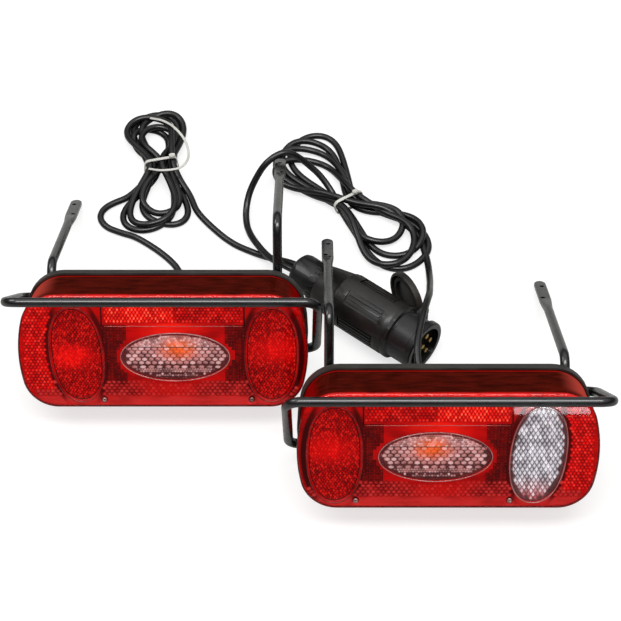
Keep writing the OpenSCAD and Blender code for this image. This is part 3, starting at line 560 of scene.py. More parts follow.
def tall_oval(x, inset, count=96):
    """Outline of a tall optic: a full oval; the outer one leans outwards at its top."""
    t = np.linspace(0, 2 * math.pi, count, endpoint=False)
    c, n = np.cos(t), np.sin(t)
    out = (tall_a - inset) * np.abs(c) ** (2 / tall_power) * np.sign(c)
    up = (tall_b - inset) * np.abs(n) ** (2 / tall_power) * np.sign(n)
    return np.column_stack([x + out + tall_lean[x] * up, tall_y + up])


def in_tall_oval(x, inset):
    """A test for points inside a tall optic's outline, inset by a distance."""
    return lambda px, py: np.abs((px - x - tall_lean[x] * (py - tall_y)) / (tall_a - inset)) ** tall_power + np.abs(
        (py - tall_y) / (tall_b - inset)) ** tall_power < 1


def plate(name, rings, level, wall_rings=()):
    """A flat face with holes at one level, and the walls that go back from its outer ring."""
    work = bmesh.new()
    loops = []
    for ring in rings:
        verts = [work.verts.new((x, y, level)) for x, y in ring]
        edges = [work.edges.new((verts[i], verts[(i + 1) % len(verts)])) for i in range(len(verts))]
        loops.append((verts, edges))
    bmesh.ops.triangle_fill(work, use_beauty=True, use_dissolve=False, edges=[e for _, edges in loops for e in edges])
    for face in work.faces:
        if face.normal.z < 0:
            face.normal_flip()
    before = loops[0][0]
    for n, (inset, z) in enumerate(wall_rings):
        ring = [work.verts.new((x, y, z)) for x, y in lens_ring(inset, z)]
        for i in range(len(ring)):
            k = (i + 1) % len(ring)
            wall = work.faces.new((before[i], ring[i], ring[k], before[k]))
            wall.smooth = True
            wall.material_index = int(n > 5)
        before = ring
    work.normal_update()
    return mesh_of(work, name)


def into_place(mesh, side):
    """Puts a mesh made in a lamp's own millimetres where that lamp stands."""
    mesh.transform(lamp_places[side])
    if side == "left":
        mesh.flip_normals()
    return mesh


def shell_rings(inset, top, radius, floor, draft):
    """Insets and levels of a lens wall, from the rounded front edge back to its foot."""
    return [(inset + draft + radius * (1 - math.sin(math.radians(a))), top - radius * (1 - math.cos(math.radians(a))))
            for a in (15, 30, 45, 60, 75, 90)] + [
        (inset + draft * (1 - t), top - radius - (top - radius - floor) * t) for t in (0.1, 0.3, 0.5, 0.7, 0.9, 1)]


def red_wall(name):
    """The lens's inside, painted with light and shade: bright red close to the face and along its foot as painted
    light, nearly black along the top wall and in bands beside the tall optics and at the end by the inner tall optic as
    painted shade, with a painted red glow above the centre window, a pale painted strip along the bottom and pale
    painted light at the outer end; its colour is also given off as a painted glow.
    """
    made, paint = new_material(name)
    place = paint.node("Attribute", {"attribute_name": "place"}, {}, "Vector")
    spot = paint.node("SeparateXYZ", {}, {"Vector": place}).socket.node
    x, y, z = (Wire(paint.tree, spot.outputs[k]) for k in range(3))
    wave = place.noise(0.06, 3.0)
    drawn = paint.node("VectorMath", {"operation": "MULTIPLY"}, {0: place, 1: (0.25, 1, 1)})
    streaks = drawn.noise(0.22, 4.0).step(0.3, 0.7)
    # Painted shade: the top wall turns streaky dark brown instead of red.
    top = y.step(92, 100) * (1 - z.step(51.2, 52.2))
    # Painted light: bright red close to the face.
    front = z.step(47, 51.8)
    # Painted light: a bright red line along the foot of the wall.
    foot = 1 - z.step(9.4, 11)
    across = (x + 8) * 0.03
    # Painted glow: bright orange-red above the centre window.
    glow = (1 - across.maths("ABSOLUTE", across).step(0.1, 1.0)) * y.step(58, 72) * (1 - y.step(76, 80))
    # Painted shade: dark bands beside the sides of the tall optics.
    beside_tall_shade = 0
    for tall in (inner_tall_x, outer_tall_x):
        u, v = (x - tall - (y - tall_y) * tall_lean[tall]) / (tall_a + 0.5), (y - tall_y) / (tall_b + 1.5)
        ring = (u * u + v * v).maths("SQRT", u * u + v * v)
        beside_tall_shade = ring.step(0.98, 1.03) * (1 - ring.step(1.12, 1.24)) * (u * u).step(0.1, 0.6) + beside_tall_shade
    # Painted shade at the end by the inner tall optic.
    end = 1 - x.step(-119, -106)
    # Painted light: pale where light shows through the wall at the outer end.
    through = x.step(88, 112) * (1 - z.step(36, 50)) * y.step(60, 88)
    side = wave.step(0.42, 0.7)
    inner = top.tint(linear(122, 6, 8), (0.5 * wave + 0.5 * streaks).tint(linear(18, 7, 4), linear(78, 26, 18)))
    # Painted light near the face and the foot, with random brighter patches off the top wall.
    bright = (front * (0.4 + 0.4 * streaks) + foot * 0.45 + side * 0.3 * (1 - top)).step(0.0, 1.0)
    colour = bright.tint(inner, linear(208, 12, 12))
    colour = (glow * (0.5 + 0.5 * streaks)).tint(colour, linear(255, 46, 30))
    # Painted light: a pale pink strip along the bottom of the face.
    strip = (1 - y.step(11, 17)) * front
    colour = (strip * (0.35 + 0.35 * streaks)).tint(colour, linear(212, 74, 74))
    # Painted shade on the front, beside the tall optics and at the end by the inner tall optic.
    colour = ((beside_tall_shade * 0.8 + end * 0.45) * front).step(0.0, 1.0).tint(colour, linear(66, 2, 4))
    colour = (through * 0.7).tint(colour, linear(206, 104, 92))
    # Painted glow: the wall gives off its own colour as light.
    shader = paint.node("BsdfPrincipled", {}, {
        "Base Color": colour, "Roughness": 0.3 + 0.25 * wave, "Specular IOR Level": 0.0, "Emission Color": colour,
        "Emission Strength": 0.5})
    paint.node("OutputMaterial", {}, {"Surface": shader})
    return made


red_skin = glassy("red_skin", (255, 214, 208), 1.49, 0.025)
wall_skin = glassy("wall_skin", (255, 214, 208), 1.16, 0.06, (190, 84, 70))
clear_skin = glassy("clear_skin", (250, 248, 250), 1.49, 0.03)
lens_inside = red_wall("lens_inside")
pink_back = finish("pink_back", (146, 74, 76), (190, 116, 116), (0.25, 0.4), 900.0, 0.05, 0.2)
grey_back = finish("grey_back", (142, 104, 108), (184, 150, 154), (0.25, 0.4), 900.0, 0.05, 0.2)
screw_places = [(-73, 10.5), (50, 10.5)]


def keep_place(mesh):
    """Stores where each corner lies in the lamp's own millimetres, for the materials."""
    store = mesh.attributes.new("place", "FLOAT_VECTOR", "POINT")
    co = np.empty(len(mesh.vertices) * 3, np.float32)
    mesh.vertices.foreach_get("co", co)
    store.data.foreach_set("vector", co)
    return mesh


def screw_heads(name):
    """Two small pan-head screws with a cross recess, sunk in their holes in the face."""
    work = bmesh.new()
    around = 32
    for cx, cy in screw_places:
        rings = []
        for r, z in ((0.25, 0.6), (0.6, 0.65), (0.95, 0.7), (1.2, 1.5), (1.7, 1.3), (2.1, 0.95), (2.35, 0.4),
                     (2.4, -0.6), (1.5, -1.2), (1.5, -14)):
            ring = []
            for k in range(around):
                c, n = math.cos(2 * math.pi * k / around), math.sin(2 * math.pi * k / around)
                slot = min(abs(c), abs(n)) * r < 0.34
                level = 1.55 - 0.05 * r if r < 1.3 and not slot else z
                ring.append(work.verts.new((cx + r * c, cy + r * n, lamp_d - 1.6 + level)))
            rings.append(ring)
        work.faces.new(rings[0])
        work.faces.new(rings[-1][::-1])
        for before, after in zip(rings, rings[1:]):
            for k in range(around):
                m = (k + 1) % around
                work.faces.new((before[k], after[k], after[m], before[m])).smooth = True
    return mesh_of(work, name)


# The reddish tint in these colours is a painted reflection of the red lens round the screw heads.
screw_steel = finish("screw_steel", (120, 84, 80), (206, 170, 164), (0.2, 0.34), 1400.0, 0.06, 0.8)
for side in lamp_places:
    clear = [(optic_x, centre_y, centre_a, centre_b)]
    if side == "right":
        clear.append((outer_tall_x, tall_y, tall_a, tall_b))
    holes = [ellipse(*clear[0])] + [tall_oval(outer_tall_x, 0) for _ in clear[1:]]
    holes += [ellipse(x, y, 2.9, 2.9, 24) for x, y in screw_places]
    skin = plate(side + "_lens_skin", [lens_ring(lens_in + lens_draft + edge_r, lamp_d)] + holes, lamp_d,
                 shell_rings(lens_in, lamp_d, edge_r, lens_z, lens_draft))
    kinds = [face.material_index for face in skin.polygons]
    shell = piece(side + "_lens_skin", into_place(skin, side), red_skin, "set", (side + "_lens",))
    shell.data.materials.append(wall_skin)
    shell.data.polygons.foreach_set("material_index", kinds)
    inner_ring = lens_ring(lens_in + lens_draft + edge_r + 0.6, lamp_d)
    inside = plate(side + "_lens_inside", [inner_ring] + holes[-2:], lamp_d - 2.2,
                   shell_rings(lens_in + 0.9, lamp_d - 2.2, edge_r - 0.4, lens_z + 0.2, lens_draft))
    piece(side + "_lens_inside", into_place(keep_place(inside), side), lens_inside, "set")
    for k, (x, y, a, b) in enumerate(clear):
        name = side + ("_indicator_window", "_reversing_window")[k]
        cover_plate = plate(name + "_skin", [tall_oval(x, 0.1) if k else ellipse(x, y, a - 0.1, b - 0.1)], lamp_d + 0.3)
        node = side + "_indicator_window" if k == 0 else "reversing_window"
        piece(name + "_skin", into_place(cover_plate, side), clear_skin, "set", (node,))
        backing = keep_place(plate(name + "_back", [tall_oval(x, 0) if k else ellipse(x, y, a, b)], lamp_d - 2.15))
        piece(name + "_back", into_place(backing, side), (pink_back, grey_back)[k], "set")
    piece(side + "_lens_screw_heads", into_place(screw_heads(side + "_lens_screw_heads"), side), screw_steel, "set",
          (side + "_lens_screws",))
    painted(zinc_steel, side + "_fixing_bolts", side + "_fixing_nuts")


# The prism optics
# Fields of small moulded prisms behind the lens's face: six-sided ones in the reflectors, squares
# beside the centre window, slanting diamonds in the tall optics and rows of pads in the windows.
def prism_tree():
    """Geometry nodes that put one small prism on every point they are given, each with its own random number."""
    tree = bpy.data.node_groups.new("prism_field", "GeometryNodeTree")
    face = tree.interface
    face.new_socket("Geometry", in_out="INPUT", socket_type="NodeSocketGeometry")
    for name, kind, value in (("Sides", "NodeSocketInt", 6), ("Foot radius", "NodeSocketFloat", 1.0),
                              ("Top radius", "NodeSocketFloat", 0.4), ("Height", "NodeSocketFloat", 1.0),
                              ("Stretch", "NodeSocketVector", (1.0, 1.0, 1.0)), ("Turn", "NodeSocketFloat", 0.0),
                              ("Unevenness", "NodeSocketFloat", 0.1), ("Material", "NodeSocketMaterial", None)):
        made = face.new_socket(name, in_out="INPUT", socket_type=kind)
        if value is not None:
            made.default_value = value
    face.new_socket("Geometry", in_out="OUTPUT", socket_type="NodeSocketGeometry")

    def node(kind, settings, inputs, output=0):
        made = tree.nodes.new(kind)
        for name, value in settings.items():
            setattr(made, name, value)
        for name, value in inputs.items():
            if isinstance(value, bpy.types.NodeSocket):
                tree.links.new(value, made.inputs[name])
            else:
                made.inputs[name].default_value = value
        return made.outputs[output]

    given = tree.nodes.new("NodeGroupInput").outputs
    cone = node("GeometryNodeMeshCone", {"fill_type": "TRIANGLE_FAN"}, {
        "Vertices": given["Sides"], "Radius Top": given["Top radius"], "Radius Bottom": given["Foot radius"],
        "Depth": given["Height"]})
    turned = node("FunctionNodeAxisAngleToRotation", {}, {"Axis": (0, 0, 1), "Angle": given["Turn"]})
    cone = node("GeometryNodeTransform", {}, {"Geometry": cone, "Rotation": turned})
    cone = node("GeometryNodeTransform", {}, {"Geometry": cone, "Scale": given["Stretch"]})
    cone = node("GeometryNodeStoreNamedAttribute", {"data_type": "FLOAT_VECTOR", "domain": "POINT"}, {
        "Geometry": cone, "Name": "cell", "Value": node("GeometryNodeInputPosition", {}, {})})
    points = node("GeometryNodeMeshToPoints", {}, {"Mesh": given["Geometry"]})
    spark = node("FunctionNodeRandomValue", {"data_type": "FLOAT"}, {"Seed": 7}, 1)
    lift = node("FunctionNodeRandomValue", {"data_type": "FLOAT"}, {"Seed": 11}, 1)
    tall = node("ShaderNodeMath", {"operation": "MULTIPLY"}, {0: lift, 1: given["Unevenness"]})
    tall = node("ShaderNodeMath", {"operation": "SUBTRACT"}, {0: 1.0, 1: tall})
    tall = node("ShaderNodeCombineXYZ", {}, {"X": 1.0, "Y": 1.0, "Z": tall})
    placed = node("GeometryNodeInstanceOnPoints", {}, {"Points": points, "Instance": cone, "Scale": tall})
    placed = node("GeometryNodeStoreNamedAttribute", {"data_type": "FLOAT", "domain": "INSTANCE"}, {
        "Geometry": placed, "Name": "spark", "Value": spark})
    whole = node("GeometryNodeRealizeInstances", {}, {"Geometry": placed})
    whole = node("GeometryNodeStoreNamedAttribute", {"data_type": "FLOAT_VECTOR", "domain": "POINT"}, {
        "Geometry": whole, "Name": "place", "Value": node("GeometryNodeInputPosition", {}, {})})
    whole = node("GeometryNodeSetMaterial", {}, {"Geometry": whole, "Material": given["Material"]})
    out = tree.nodes.new("NodeGroupOutput")
    tree.links.new(whole, out.inputs[0])
    return tree


prisms = prism_tree()


def lattice(box, step, stagger, inside):
    """Points in rows within a box, every second row moved along, kept where inside says so."""
    x0, y0, x1, y1 = box
    rows = []
    for j in range(int((y1 - y0) / step[1]) + 1):
        xs = np.arange(x0 + (stagger * step[0] if j % 2 else 0), x1, step[0])
        rows.append(np.column_stack([xs, np.full(len(xs), y0 + j * step[1])]))
    points = np.vstack(rows)
    return points[inside(points[:, 0], points[:, 1])]


def within(x, y, a, b):
    return lambda px, py: ((px - x) / a) ** 2 + ((py - y) / b) ** 2 < 1


def field(name, points, sides, foot, top, height, stretch, turn, material, side, slot, uneven=0.2, replaced=()):
    """A field of prisms on the given points of one lamp's face."""
    seed = bpy.data.meshes.new(name + "_points")
    seed.from_pydata([(x, y, face_level) for x, y in points], [], [])
    holder = bpy.data.objects.new(name + "_points", seed)
    scene.collection.objects.link(holder)
    grown = holder.modifiers.new("prisms", "NODES")
    grown.node_group = prisms
    values = {"Sides": sides, "Foot radius": foot, "Top radius": top, "Height": height, "Stretch": stretch,
              "Turn": math.radians(turn), "Unevenness": uneven, "Material": material}
    for socket in prisms.interface.items_tree:
        if socket.in_out == "INPUT" and socket.name in values:
            grown[socket.identifier] = values[socket.name]
    holder.update_tag()
    bpy.context.view_layer.update()
    mesh = as_shaped(holder)
    bpy.data.objects.remove(holder)
    mesh.name = name
    return piece(name, into_place(mesh, side), None, "set", replaced)


def prism_finish(name, dark, light, painted_highlight, contrast, metal=0.3, rough=0.2, painted_glow_strength=0.55, glow=None):
    """Prisms that throw the light back, painted with light: painted shade on their feet and on facets turned from the
    upper left, painted highlights on their tops, each a shade apart at random, an optional painted glow round one spot
    as before a bulb, and a painted glow of their own colour.
    """
    made, paint = new_material(name)
    spark = paint.node("Attribute", {"attribute_name": "spark"}, {}, "Fac")
    cell = paint.node("Attribute", {"attribute_name": "cell"}, {}, "Vector")
    place = paint.node("Attribute", {"attribute_name": "place"}, {}, "Vector")
    # Painted light: the prisms' tops lighter than their feet.
    height = Wire(paint.tree, paint.node("SeparateXYZ", {}, {"Vector": cell}).socket.node.outputs[2]).step(0.1, 1.05)
    # Painted light: facets turned to the upper left lighter, the others darker.
    lean = paint.node("VectorMath", {"operation": "DOT_PRODUCT"}, {0: cell, 1: (-0.35, 0.6, 0)}, 1).step(-0.7, 0.7)
    wave = place.noise(0.09, 2.0).step(0.35, 0.7)
    # Painted shade and light, mixed with each prism's own random tone.
    shade = (spark * contrast + wave * (1 - contrast)) * 0.5 + height * 0.45 + lean * 0.35 - 0.14
    # Painted glow: a brighter tone round one spot, as before a bulb.
    if glow:
        x, y, wide, tone = glow
        away = paint.node("VectorMath", {"operation": "DISTANCE"}, {
            0: paint.node("VectorMath", {"operation": "MULTIPLY"}, {0: place, 1: (1 / wide, 1.6 / wide, 0)}),
            1: (x / wide, y * 1.6 / wide, 0)}, 1)
        near = 1 - away.step(0.12, 1.0)
        light = near.tint(linear(*light), linear(*tone))
        dark = (near * 0.6).tint(linear(*dark), linear(*tone))
    else:
        light, dark = linear(*light), linear(*dark)
    colour = shade.step(0.1, 0.95).tint(dark, light)
    # Painted highlight on the tops of some prisms.
    colour = ((height * spark).step(0.35, 0.95) * painted_highlight[3]).tint(colour, linear(*painted_highlight[:3]))
    # Painted glow: the prisms give off their own colour as light.
    shader = paint.node("BsdfPrincipled", {}, {
        "Base Color": colour, "Roughness": rough + 0.15 * spark, "Metallic": metal, "Emission Color": colour,
        "Emission Strength": painted_glow_strength})
    paint.node("OutputMaterial", {}, {"Surface": shader})
    return made


# Each glow below is a spot of painted glow: its place, its width and its colour.
bright_reflex = prism_finish("bright_reflex", (150, 6, 6), (255, 58, 44), (255, 160, 120, 0.8), 0.6, painted_glow_strength=0.72)
deep_reflex = prism_finish("deep_reflex", (100, 3, 5), (246, 20, 20), (255, 96, 80, 0.6), 0.6, painted_glow_strength=0.5)
waffle_red = prism_finish("waffle_red", (36, 2, 3), (130, 8, 8), (166, 24, 24, 0.4), 0.5)
floor_red = prism_finish("floor_red", (112, 12, 15), (204, 56, 56), (226, 100, 96, 0.3), 0.5,
                         glow=(-5, 27, 40, (206, 26, 22)))
tall_red = prism_finish("tall_red", (66, 1, 4), (208, 12, 12), (250, 70, 56, 0.5), 0.8,
                        glow=(-94, 55, 32, (226, 16, 14)))
outer_tall_red = prism_finish("outer_tall_red", (70, 1, 4), (212, 14, 14), (250, 70, 56, 0.5), 0.8,
                              glow=(76, 49, 28, (240, 22, 18)))
outer_red = prism_finish("outer_red", (112, 4, 6), (250, 22, 20), (255, 100, 84, 0.6), 0.6, painted_glow_strength=0.58)
window_clear = prism_finish("window_clear", (70, 34, 36), (206, 146, 142), (255, 226, 224, 0.55), 0.3, painted_glow_strength=0.68,
                            glow=(-13, 56, 22, (236, 112, 50)))
reversing_clear = prism_finish("reversing_clear", (88, 84, 88), (226, 222, 228), (255, 255, 255, 0.8), 0.6, painted_glow_strength=0.66,
                               glow=(69, 2, 54, (178, 50, 48)))

face_level = lamp_d - 2.1
for side in lamp_places:
    in_centre = within(optic_x, centre_y, centre_a + 3.8, centre_b + 3.8)
    in_tall = [in_tall_oval(x, -2.2) for x in (inner_tall_x, outer_tall_x)]
    by_screw = [within(x, y, 4.6, 4.6) for x, y in screw_places]
    closed = lambda x, y: in_centre(x, y) | in_tall[0](x, y) | in_tall[1](x, y) | by_screw[0](x, y) | by_screw[1](x, y)
    everywhere = lambda x, y: x > -999
    inner_reflex = lattice((-65, 79.9, -9.6, 99.4), (3.0, 2.55), 0.5, everywhere)
    outer_reflex = lattice((-8.1, 79.9, 48.4, 99.4), (3.0, 2.55), 0.5, everywhere)
    field(side + "_reflex_inner", inner_reflex, 6, 1.65, 0.62, 1.1, (1, 1, 1), 30, deep_reflex, side, "reflex")
    field(side + "_reflex_outer", outer_reflex, 6, 1.7, 0.55, 1.1, (0.72, 1.15, 1), -38, bright_reflex, side, "reflex",
          replaced=(side + "_reflex_reflector",))
    waffle = np.vstack([
        lattice((-66.5, 25, -50, 75.5), (2.8, 2.8), 0, lambda x, y: ~closed(x, y)),
        lattice((31.5, 25, 49, 75.5), (2.8, 2.8), 0, lambda x, y: ~closed(x, y))])
    field(side + "_waffle", waffle, 4, 1.85, 0.75, 0.9, (1, 1, 1), 45, waffle_red, side, "red_lens")
    framed = lambda x, y: (np.maximum(np.abs(x) - (lamp_w / 2 - corner_r), 0) ** 2 + np.maximum(
        np.abs(y - lamp_h / 2) - (lamp_h / 2 - corner_r), 0) ** 2 < (corner_r - 7) ** 2) & (y > 6.5)
    lower = lattice((-110, 15.2, 110, 27.5), (4.1, 2.7), 0.5,
                    lambda x, y: ~closed(x, y) & framed(x, y) & ((x < 92) | (y < 20)))
    field(side + "_lower_prisms", lower, 6, 2.2, 0.8, 1.1, (1, 0.85, 1), 30, floor_red, side, "red_lens")
    talls = [inner_tall_x] if side == "right" else [inner_tall_x, outer_tall_x]
    for k, x in enumerate(talls):
        keep = in_tall_oval(x, 1.8)
        points = lattice((x - tall_a - 3, tall_y - tall_b, x + tall_a + 3, tall_y + tall_b), (2.6, 1.9), 0.5, keep)
        points += np.random.default_rng(5).uniform(-0.45, 0.45, points.shape)
        field(f"{side}_tall_optic_{k + 1}", points, 4, 1.55, 0.4, 1.2, (0.95, 1.3, 1), 0,
              (tall_red, outer_tall_red)[k], side, "red_lens", 0.35)
    edge = lambda x, y: ~in_tall_oval(outer_tall_x, -3.4)(x, y) & (
        (x - (lamp_w / 2 - corner_r)) ** 2 + np.maximum(np.abs(y - lamp_h / 2) - (lamp_h / 2 - corner_r), 0) ** 2
        < (corner_r - 5) ** 2)
    field(side + "_side_prisms", lattice((93.5, 21, 117, 93), (3.0, 2.6), 0.5, edge), 6, 1.65, 0.6, 1.1,
          (1, 1, 1), 30, outer_red, side, "reflex", replaced=(side + "_side_reflector",))
    keep = within(optic_x, centre_y, centre_a - 3.2, centre_b - 2.4)
    upper = lattice((-56, centre_y + 9.2, 36, centre_y + 21), (2.1, 1.7), 0.5, keep)
    middle = lattice((-56, centre_y - 5.6, 36, centre_y + 8.2), (5.3, 3.1), 0.5, keep)
    lower = lattice((-56, centre_y - 20.5, 36, centre_y - 10.4), (2.2, 1.8), 0.5,
                    lambda x, y: keep(x, y) & (np.abs(y - centre_y + 15.4) > 0.9))
    dashes = lattice((-45, centre_y - 9.2, 28, centre_y - 9.1), (6.9, 3), 0, keep)
    dots = np.array([(x, centre_y - 15.4) for x in (-34, -24.5, -18, -5, 1, 11)])
    for part, *shape, uneven in (
            ("ribs", upper, 6, 1.3, 1.08, 0.9, (1, 0.9, 1), 30, 0.2),
            ("foot", lower, 6, 1.3, 0.95, 0.7, (1, 0.85, 1), 30, 0.2),
            ("pads", middle, 6, 3.0, 1.3, 1.4, (1, 0.68, 1), 30, 0.2),
            ("dashes", dashes, 10, 2.2, 1.5, 1.4, (1.3, 0.6, 1), 0, 0),
            ("dots", dots, 12, 1.3, 0.6, 1.4, (1, 1, 1), 0, 0)):
        field(f"{side}_window_{part}", *shape, window_clear, side, "clear_lens", uneven)
keep = in_tall_oval(outer_tall_x, 2.6)
points = lattice((outer_tall_x - tall_a - 3, tall_y - tall_b, outer_tall_x + tall_a + 3, tall_y + tall_b),
                 (3.7, 3.1), 0.5, keep)
field("reversing_prisms", points, 4, 1.85, 0.2, 1.6, (1, 1.68, 1), 0, reversing_clear, "right", "clear_lens", 0.5)


# The rims and steps on the lens
# Thin raised lines of the same moulding round each optic and under the top reflector.
def bead(name, ring, level, radius, material, side, closed=True, flat=0.6):
    """A low half-round bead along a line on the lens's face."""
    ring = np.array(ring)
    ahead = np.roll(ring, -1, 0) - np.roll(ring, 1, 0) if closed else np.gradient(ring, axis=0)
    out = np.column_stack([ahead[:, 1], -ahead[:, 0]])
    out /= np.linalg.norm(out, axis=1)[:, None]
    count, around = len(ring), 8
    verts = []
    for i in range(count):
        for k in range(around):
            a = 2 * math.pi * k / around
            x, y = ring[i] + out[i] * radius * math.cos(a)
            verts.append((x, y, level + radius * flat * math.sin(a)))
    faces = [(around * i + k, around * ((i + 1) % count) + k, around * ((i + 1) % count) + (k + 1) % around,
              around * i + (k + 1) % around) for i in range(count if closed else count - 1) for k in range(around)]
    if not closed:
        faces += [tuple(range(around)), tuple(around * count - 1 - k for k in range(around))]
    mesh = bpy.data.meshes.new(name)
    mesh.from_pydata(verts, [], faces)
    work = bmesh.new()
    work.from_mesh(mesh)
    bmesh.ops.recalc_face_normals(work, faces=work.faces)
    for face in work.faces:
        face.smooth = True
    work.to_mesh(mesh)
    work.free()
    return piece(name, into_place(keep_place(mesh), side), material, "set")


pale_rim = finish("pale_rim", (176, 84, 84), (226, 160, 156), (0.12, 0.25), 900.0, 0.02, 0.3, 70.0, 0.5)
soft_rim = finish("soft_rim", (150, 36, 36), (214, 96, 88), (0.15, 0.3), 900.0, 0.02, 0.2, 60.0, 0.3)
red_rim = finish("red_rim", (104, 8, 12), (196, 34, 34), (0.12, 0.25), 900.0, 0.02, 0.3, 90.0, 0.5)
# Painted shade: this finish makes the lines along the window, inside the tall optics and at the reflector's ends dark
# lines of shade.
dark_line = finish("dark_line", (48, 8, 8), (80, 14, 14), (0.2, 0.3), 900.0, 0.02)
for side in lamp_places:
    bead(side + "_window_rim", ellipse(optic_x, centre_y, centre_a + 0.1, centre_b + 0.1, 96), lamp_d + 0.2, 0.4,
         pale_rim, side)
    bead(side + "_window_inner_rim", ellipse(optic_x, centre_y, centre_a - 2.5, centre_b - 1.9, 96), lamp_d - 0.9, 0.35,
         soft_rim, side)
    bead(side + "_window_line", [(x, centre_y + 8.3) for x in np.linspace(optic_x - 41, optic_x + 41, 20)],
         lamp_d - 1.2, 0.28, dark_line, side, False)
    for k, x in enumerate((inner_tall_x, outer_tall_x)):
        tone = pale_rim if side == "right" and k else red_rim
        bead(f"{side}_tall_rim_{k + 1}", tall_oval(x, -0.2), lamp_d + 0.25, 0.5, tone, side)
        bead(f"{side}_tall_line_{k + 1}", tall_oval(x, 1.9), lamp_d - 1.0, 0.35,
             dark_line if tone is red_rim else pale_rim, side)
    bead(side + "_step_line", [(x, 76.2) for x in np.linspace(-66, 48, 24)], lamp_d + 0.1, 0.32, soft_rim, side,
         False)
    for k, x in enumerate((-67.4, 50.2)):
        bead(f"{side}_reflex_edge_{k + 1}", [(x, y) for y in np.linspace(76, 100.5, 8)], lamp_d - 0.8, 0.6, dark_line,
             side, False)


# The guard bars and brackets
# Round steel bar, 8 mm thick, bent cold into a hoop round the front of the lens and two arms whose
# ends are flattened and drilled; it is welded to a flat strip and powder coated black.
black_coat = finish("black_coat", (9, 9, 10), (24, 24, 24), (0.2, 0.34), 700.0, 0.14, 0.0, 60.0, 0.8)
bar_d, bend_r, flat_w, flat_t, flat_l, taper_l, hole_r = 8, 12, 10.5, 4.5, 48, 20, 2.1
guard_x, guard_y, guard_z, bar_z, tip_z = 128, 102, 68, -7, -192.58
bar_corners = [(98, 109, tip_z), (98, 109, bar_z), (98, 80, bar_z), (guard_x - 4, 80, bar_z),
               (guard_x, guard_y, guard_z), (-guard_x, guard_y, guard_z), (-guard_x + 1, 33, bar_z), (-94, 33, bar_z),
               (-94, 149, bar_z), (-94, 149, tip_z)]
hole_places = [(98 + 0.6, 109, tip_z + 15), (98 - 1.9, 109, tip_z + 45), (-94 + 0.6, 149, tip_z + 15),
               (-94 - 1.9, 149, tip_z + 45)]


def bent_bar(name):
    """The bar's whole length: round along its straights and bends, flattened with round tips at both ends."""
    corners = np.array(bar_corners, float)
    line = [corners[0]]
    for i in range(1, len(corners) - 1):
        a = corners[i] - corners[i - 1]
        b = corners[i + 1] - corners[i]
        a /= np.linalg.norm(a)
        b /= np.linalg.norm(b)
        turn = math.acos(float(np.clip(a @ b, -1, 1)))
        cut = bend_r * math.tan(turn / 2)
        normal = np.cross(np.cross(a, b), a)
        normal /= np.linalg.norm(normal)
        start = corners[i] - a * cut
        for t in np.linspace(0, turn, 13):
            line.append(start + a * bend_r * math.sin(t) + normal * bend_r * (1 - math.cos(t)))
    line.append(corners[-1])
    line = np.array(line)
    run = run_along(line)
    total = run[-1]
    round_from, round_to = flat_l + taper_l, total - flat_l - taper_l
    near = [0.02, 0.4, 1.2, 2.4, 3.8, 5.25, 9, 15, 22, 30, 38, 45, flat_l, flat_l + 5, flat_l + 10, flat_l + 15,
            round_from]
    marks = sorted(set(near + [total - v for v in near] + [v for v in run if round_from < v < round_to]
                       + list(np.arange(round_from + 4, round_to - 4, 14.0))))
    marks = np.array([m for i, m in enumerate(marks) if i == 0 or m - marks[i - 1] > 0.3])
    spots = np.stack([np.interp(marks, run, line[:, k]) for k in range(3)], 1)
    ways = np.gradient(spots, axis=0)
    ways /= np.linalg.norm(ways, axis=1)[:, None]
    sides = [np.array([1.0, 0, 0])]
    for i in range(1, len(spots)):
        s = sides[-1] - ways[i] * (sides[-1] @ ways[i])
        sides.append(s / np.linalg.norm(s))
    last = np.cross(ways[-1], sides[-1])
    twist = math.atan2(last @ np.array([1.0, 0, 0]), sides[-1] @ np.array([1.0, 0, 0]))
    twist = (twist + math.pi / 2) % math.pi - math.pi / 2
    around = 24
    verts = []
    for i, mark in enumerate(marks):
        end = min(mark, total - mark)
        flat = float(np.clip((flat_l + taper_l - end) / taper_l, 0, 1))
        wide = (bar_d + (flat_w - bar_d) * flat) / 2
        thick = (bar_d + (flat_t - bar_d) * flat) / 2
        if end < flat_w / 2:
            wide = math.sqrt(max((flat_w / 2) ** 2 - (flat_w / 2 - end) ** 2, 0.01))
        power = 2 / (2 + 3 * flat)
        angle = twist * mark / total
        u = sides[i] * math.cos(angle) + np.cross(ways[i], sides[i]) * math.sin(angle)
        v = np.cross(ways[i], u)
        for k in range(around):
            a = 2 * math.pi * (k + 0.5) / around
            c, n = math.cos(a), math.sin(a)
            verts.append(spots[i] + u * wide * abs(c) ** power * np.sign(c) + v * thick * abs(n) ** power * np.sign(n))
    count = len(marks)
    faces = [(around * i + k, around * i + (k + 1) % around, around * (i + 1) + (k + 1) % around, around * (i + 1) + k)
             for i in range(count - 1) for k in range(around)]
    faces += [tuple(range(around))[::-1], tuple(around * (count - 1) + k for k in range(around))]
    mesh = bpy.data.meshes.new(name)
    mesh.from_pydata([tuple(v) for v in verts], [], faces)
    return mesh


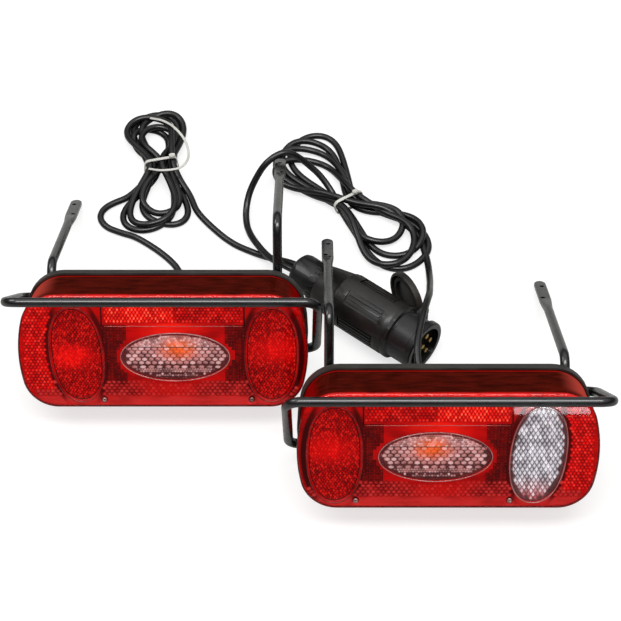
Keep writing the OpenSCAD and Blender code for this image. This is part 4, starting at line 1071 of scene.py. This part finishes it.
for side in lamp_places:
    bar = bent_bar(side + "_bar")
    cutter = bmesh.new()
    for x, y, z in hole_places:
        drill = Matrix.Translation((x, y, z)) @ Matrix.Rotation(math.pi / 2, 4, "X")
        bmesh.ops.create_cone(cutter, cap_ends=True, segments=24, radius1=hole_r, radius2=hole_r, depth=16,
                              matrix=drill)
    blank = bpy.data.objects.new(side + "_bar_blank", bar)
    drills = bpy.data.objects.new(side + "_drills", mesh_of(cutter, side + "_drills"))
    scene.collection.objects.link(blank)
    scene.collection.objects.link(drills)
    drilled = blank.modifiers.new("holes", "BOOLEAN")
    drilled.operation, drilled.solver, drilled.object = "DIFFERENCE", "EXACT", drills
    mesh = as_shaped(blank)
    bpy.data.objects.remove(blank)
    bpy.data.objects.remove(drills)
    mesh.name = side + "_guard_bar_coated"
    for polygon in mesh.polygons:
        polygon.use_smooth = True
    mesh.set_sharp_from_angle(angle=math.radians(38))
    piece(side + "_guard_bar_coated", into_place(mesh, side), black_coat, "set", (side + "_guard_bar",))
    dressed(side + "_mounting_strip", black_coat, "set", 0.4)


# The floor, the lights and the room
# A plain white floor under soft light from above, with two low bright cards whose reflections lie
# on the right lamp's lens.
floor_mesh = bpy.data.meshes.new("floor")
floor_mesh.from_pydata([(-6, -6, 0), (6, -6, 0), (6, 6, 0), (-6, 6, 0)], [], [(0, 1, 2, 3)])
floor = bpy.data.objects.new("floor", floor_mesh)
scene.collection.objects.link(floor)
floor_white, paint = new_material("floor_white")
seen = paint.node("LightPath", {}, {}, "Is Camera Ray")
pale = paint.node("BsdfDiffuse", {}, {"Color": (0.4, 0.4, 0.39, 1)})
lift = paint.node("Emission", {}, {"Color": (1, 1, 1, 1), "Strength": 0.7})
both = paint.node("AddShader", {}, {0: pale, 1: lift})
shader = paint.node("MixShader", {}, {0: seen, 1: pale, 2: both})
paint.node("OutputMaterial", {}, {"Surface": shader})
floor_mesh.materials.append(floor_white)

world = bpy.data.worlds.new("room")
world.use_nodes = True
world.node_tree.nodes.clear()
scene.world = world
paint = Wire(world.node_tree)
way = paint.node("TexCoord", {}, {}, "Generated")
height = Wire(paint.tree, paint.node("SeparateXYZ", {}, {"Vector": way}).socket.node.outputs[2])
level = 0.09 + 0.75 * height.step(0.3, 0.95)
seen = paint.node("LightPath", {}, {}, "Is Camera Ray")
level = level * (1 - seen) + seen
back = paint.node("Background", {}, {"Color": (1, 1, 1, 1), "Strength": level})
paint.node("OutputWorld", {}, {"Surface": back})


def area_light(name, place, target, size, power, tone=(1, 1, 1)):
    lamp = bpy.data.lights.new(name, "AREA")
    lamp.shape = "RECTANGLE"
    lamp.size, lamp.size_y = size
    lamp.energy = power
    lamp.color = tone
    made = bpy.data.objects.new(name, lamp)
    made.location = place
    made.rotation_euler = (Vector(target) - Vector(place)).to_track_quat("-Z", "Y").to_euler()
    scene.collection.objects.link(made)


area_light("key_light", (0.05, -0.5, 1.85), (0, 0, 0), (1.6, 0.6), 21)
area_light("fill_light", (-1.1, 0.3, 1.3), (0.0, 0, 0.05), (0.6, 0.6), 4)
area_light("card_glint", (0.314, -1.139, 0.2126), (0.2, -0.15, 0.108), (0.046, 0.0044), 0.014)
area_light("window_card", (0.325, -1.14, 0.208), (0.2, -0.15, 0.108), (0.1, 0.013), 0.03, (0.9, 0.95, 1.0))

scene.view_settings.view_transform = "Standard"
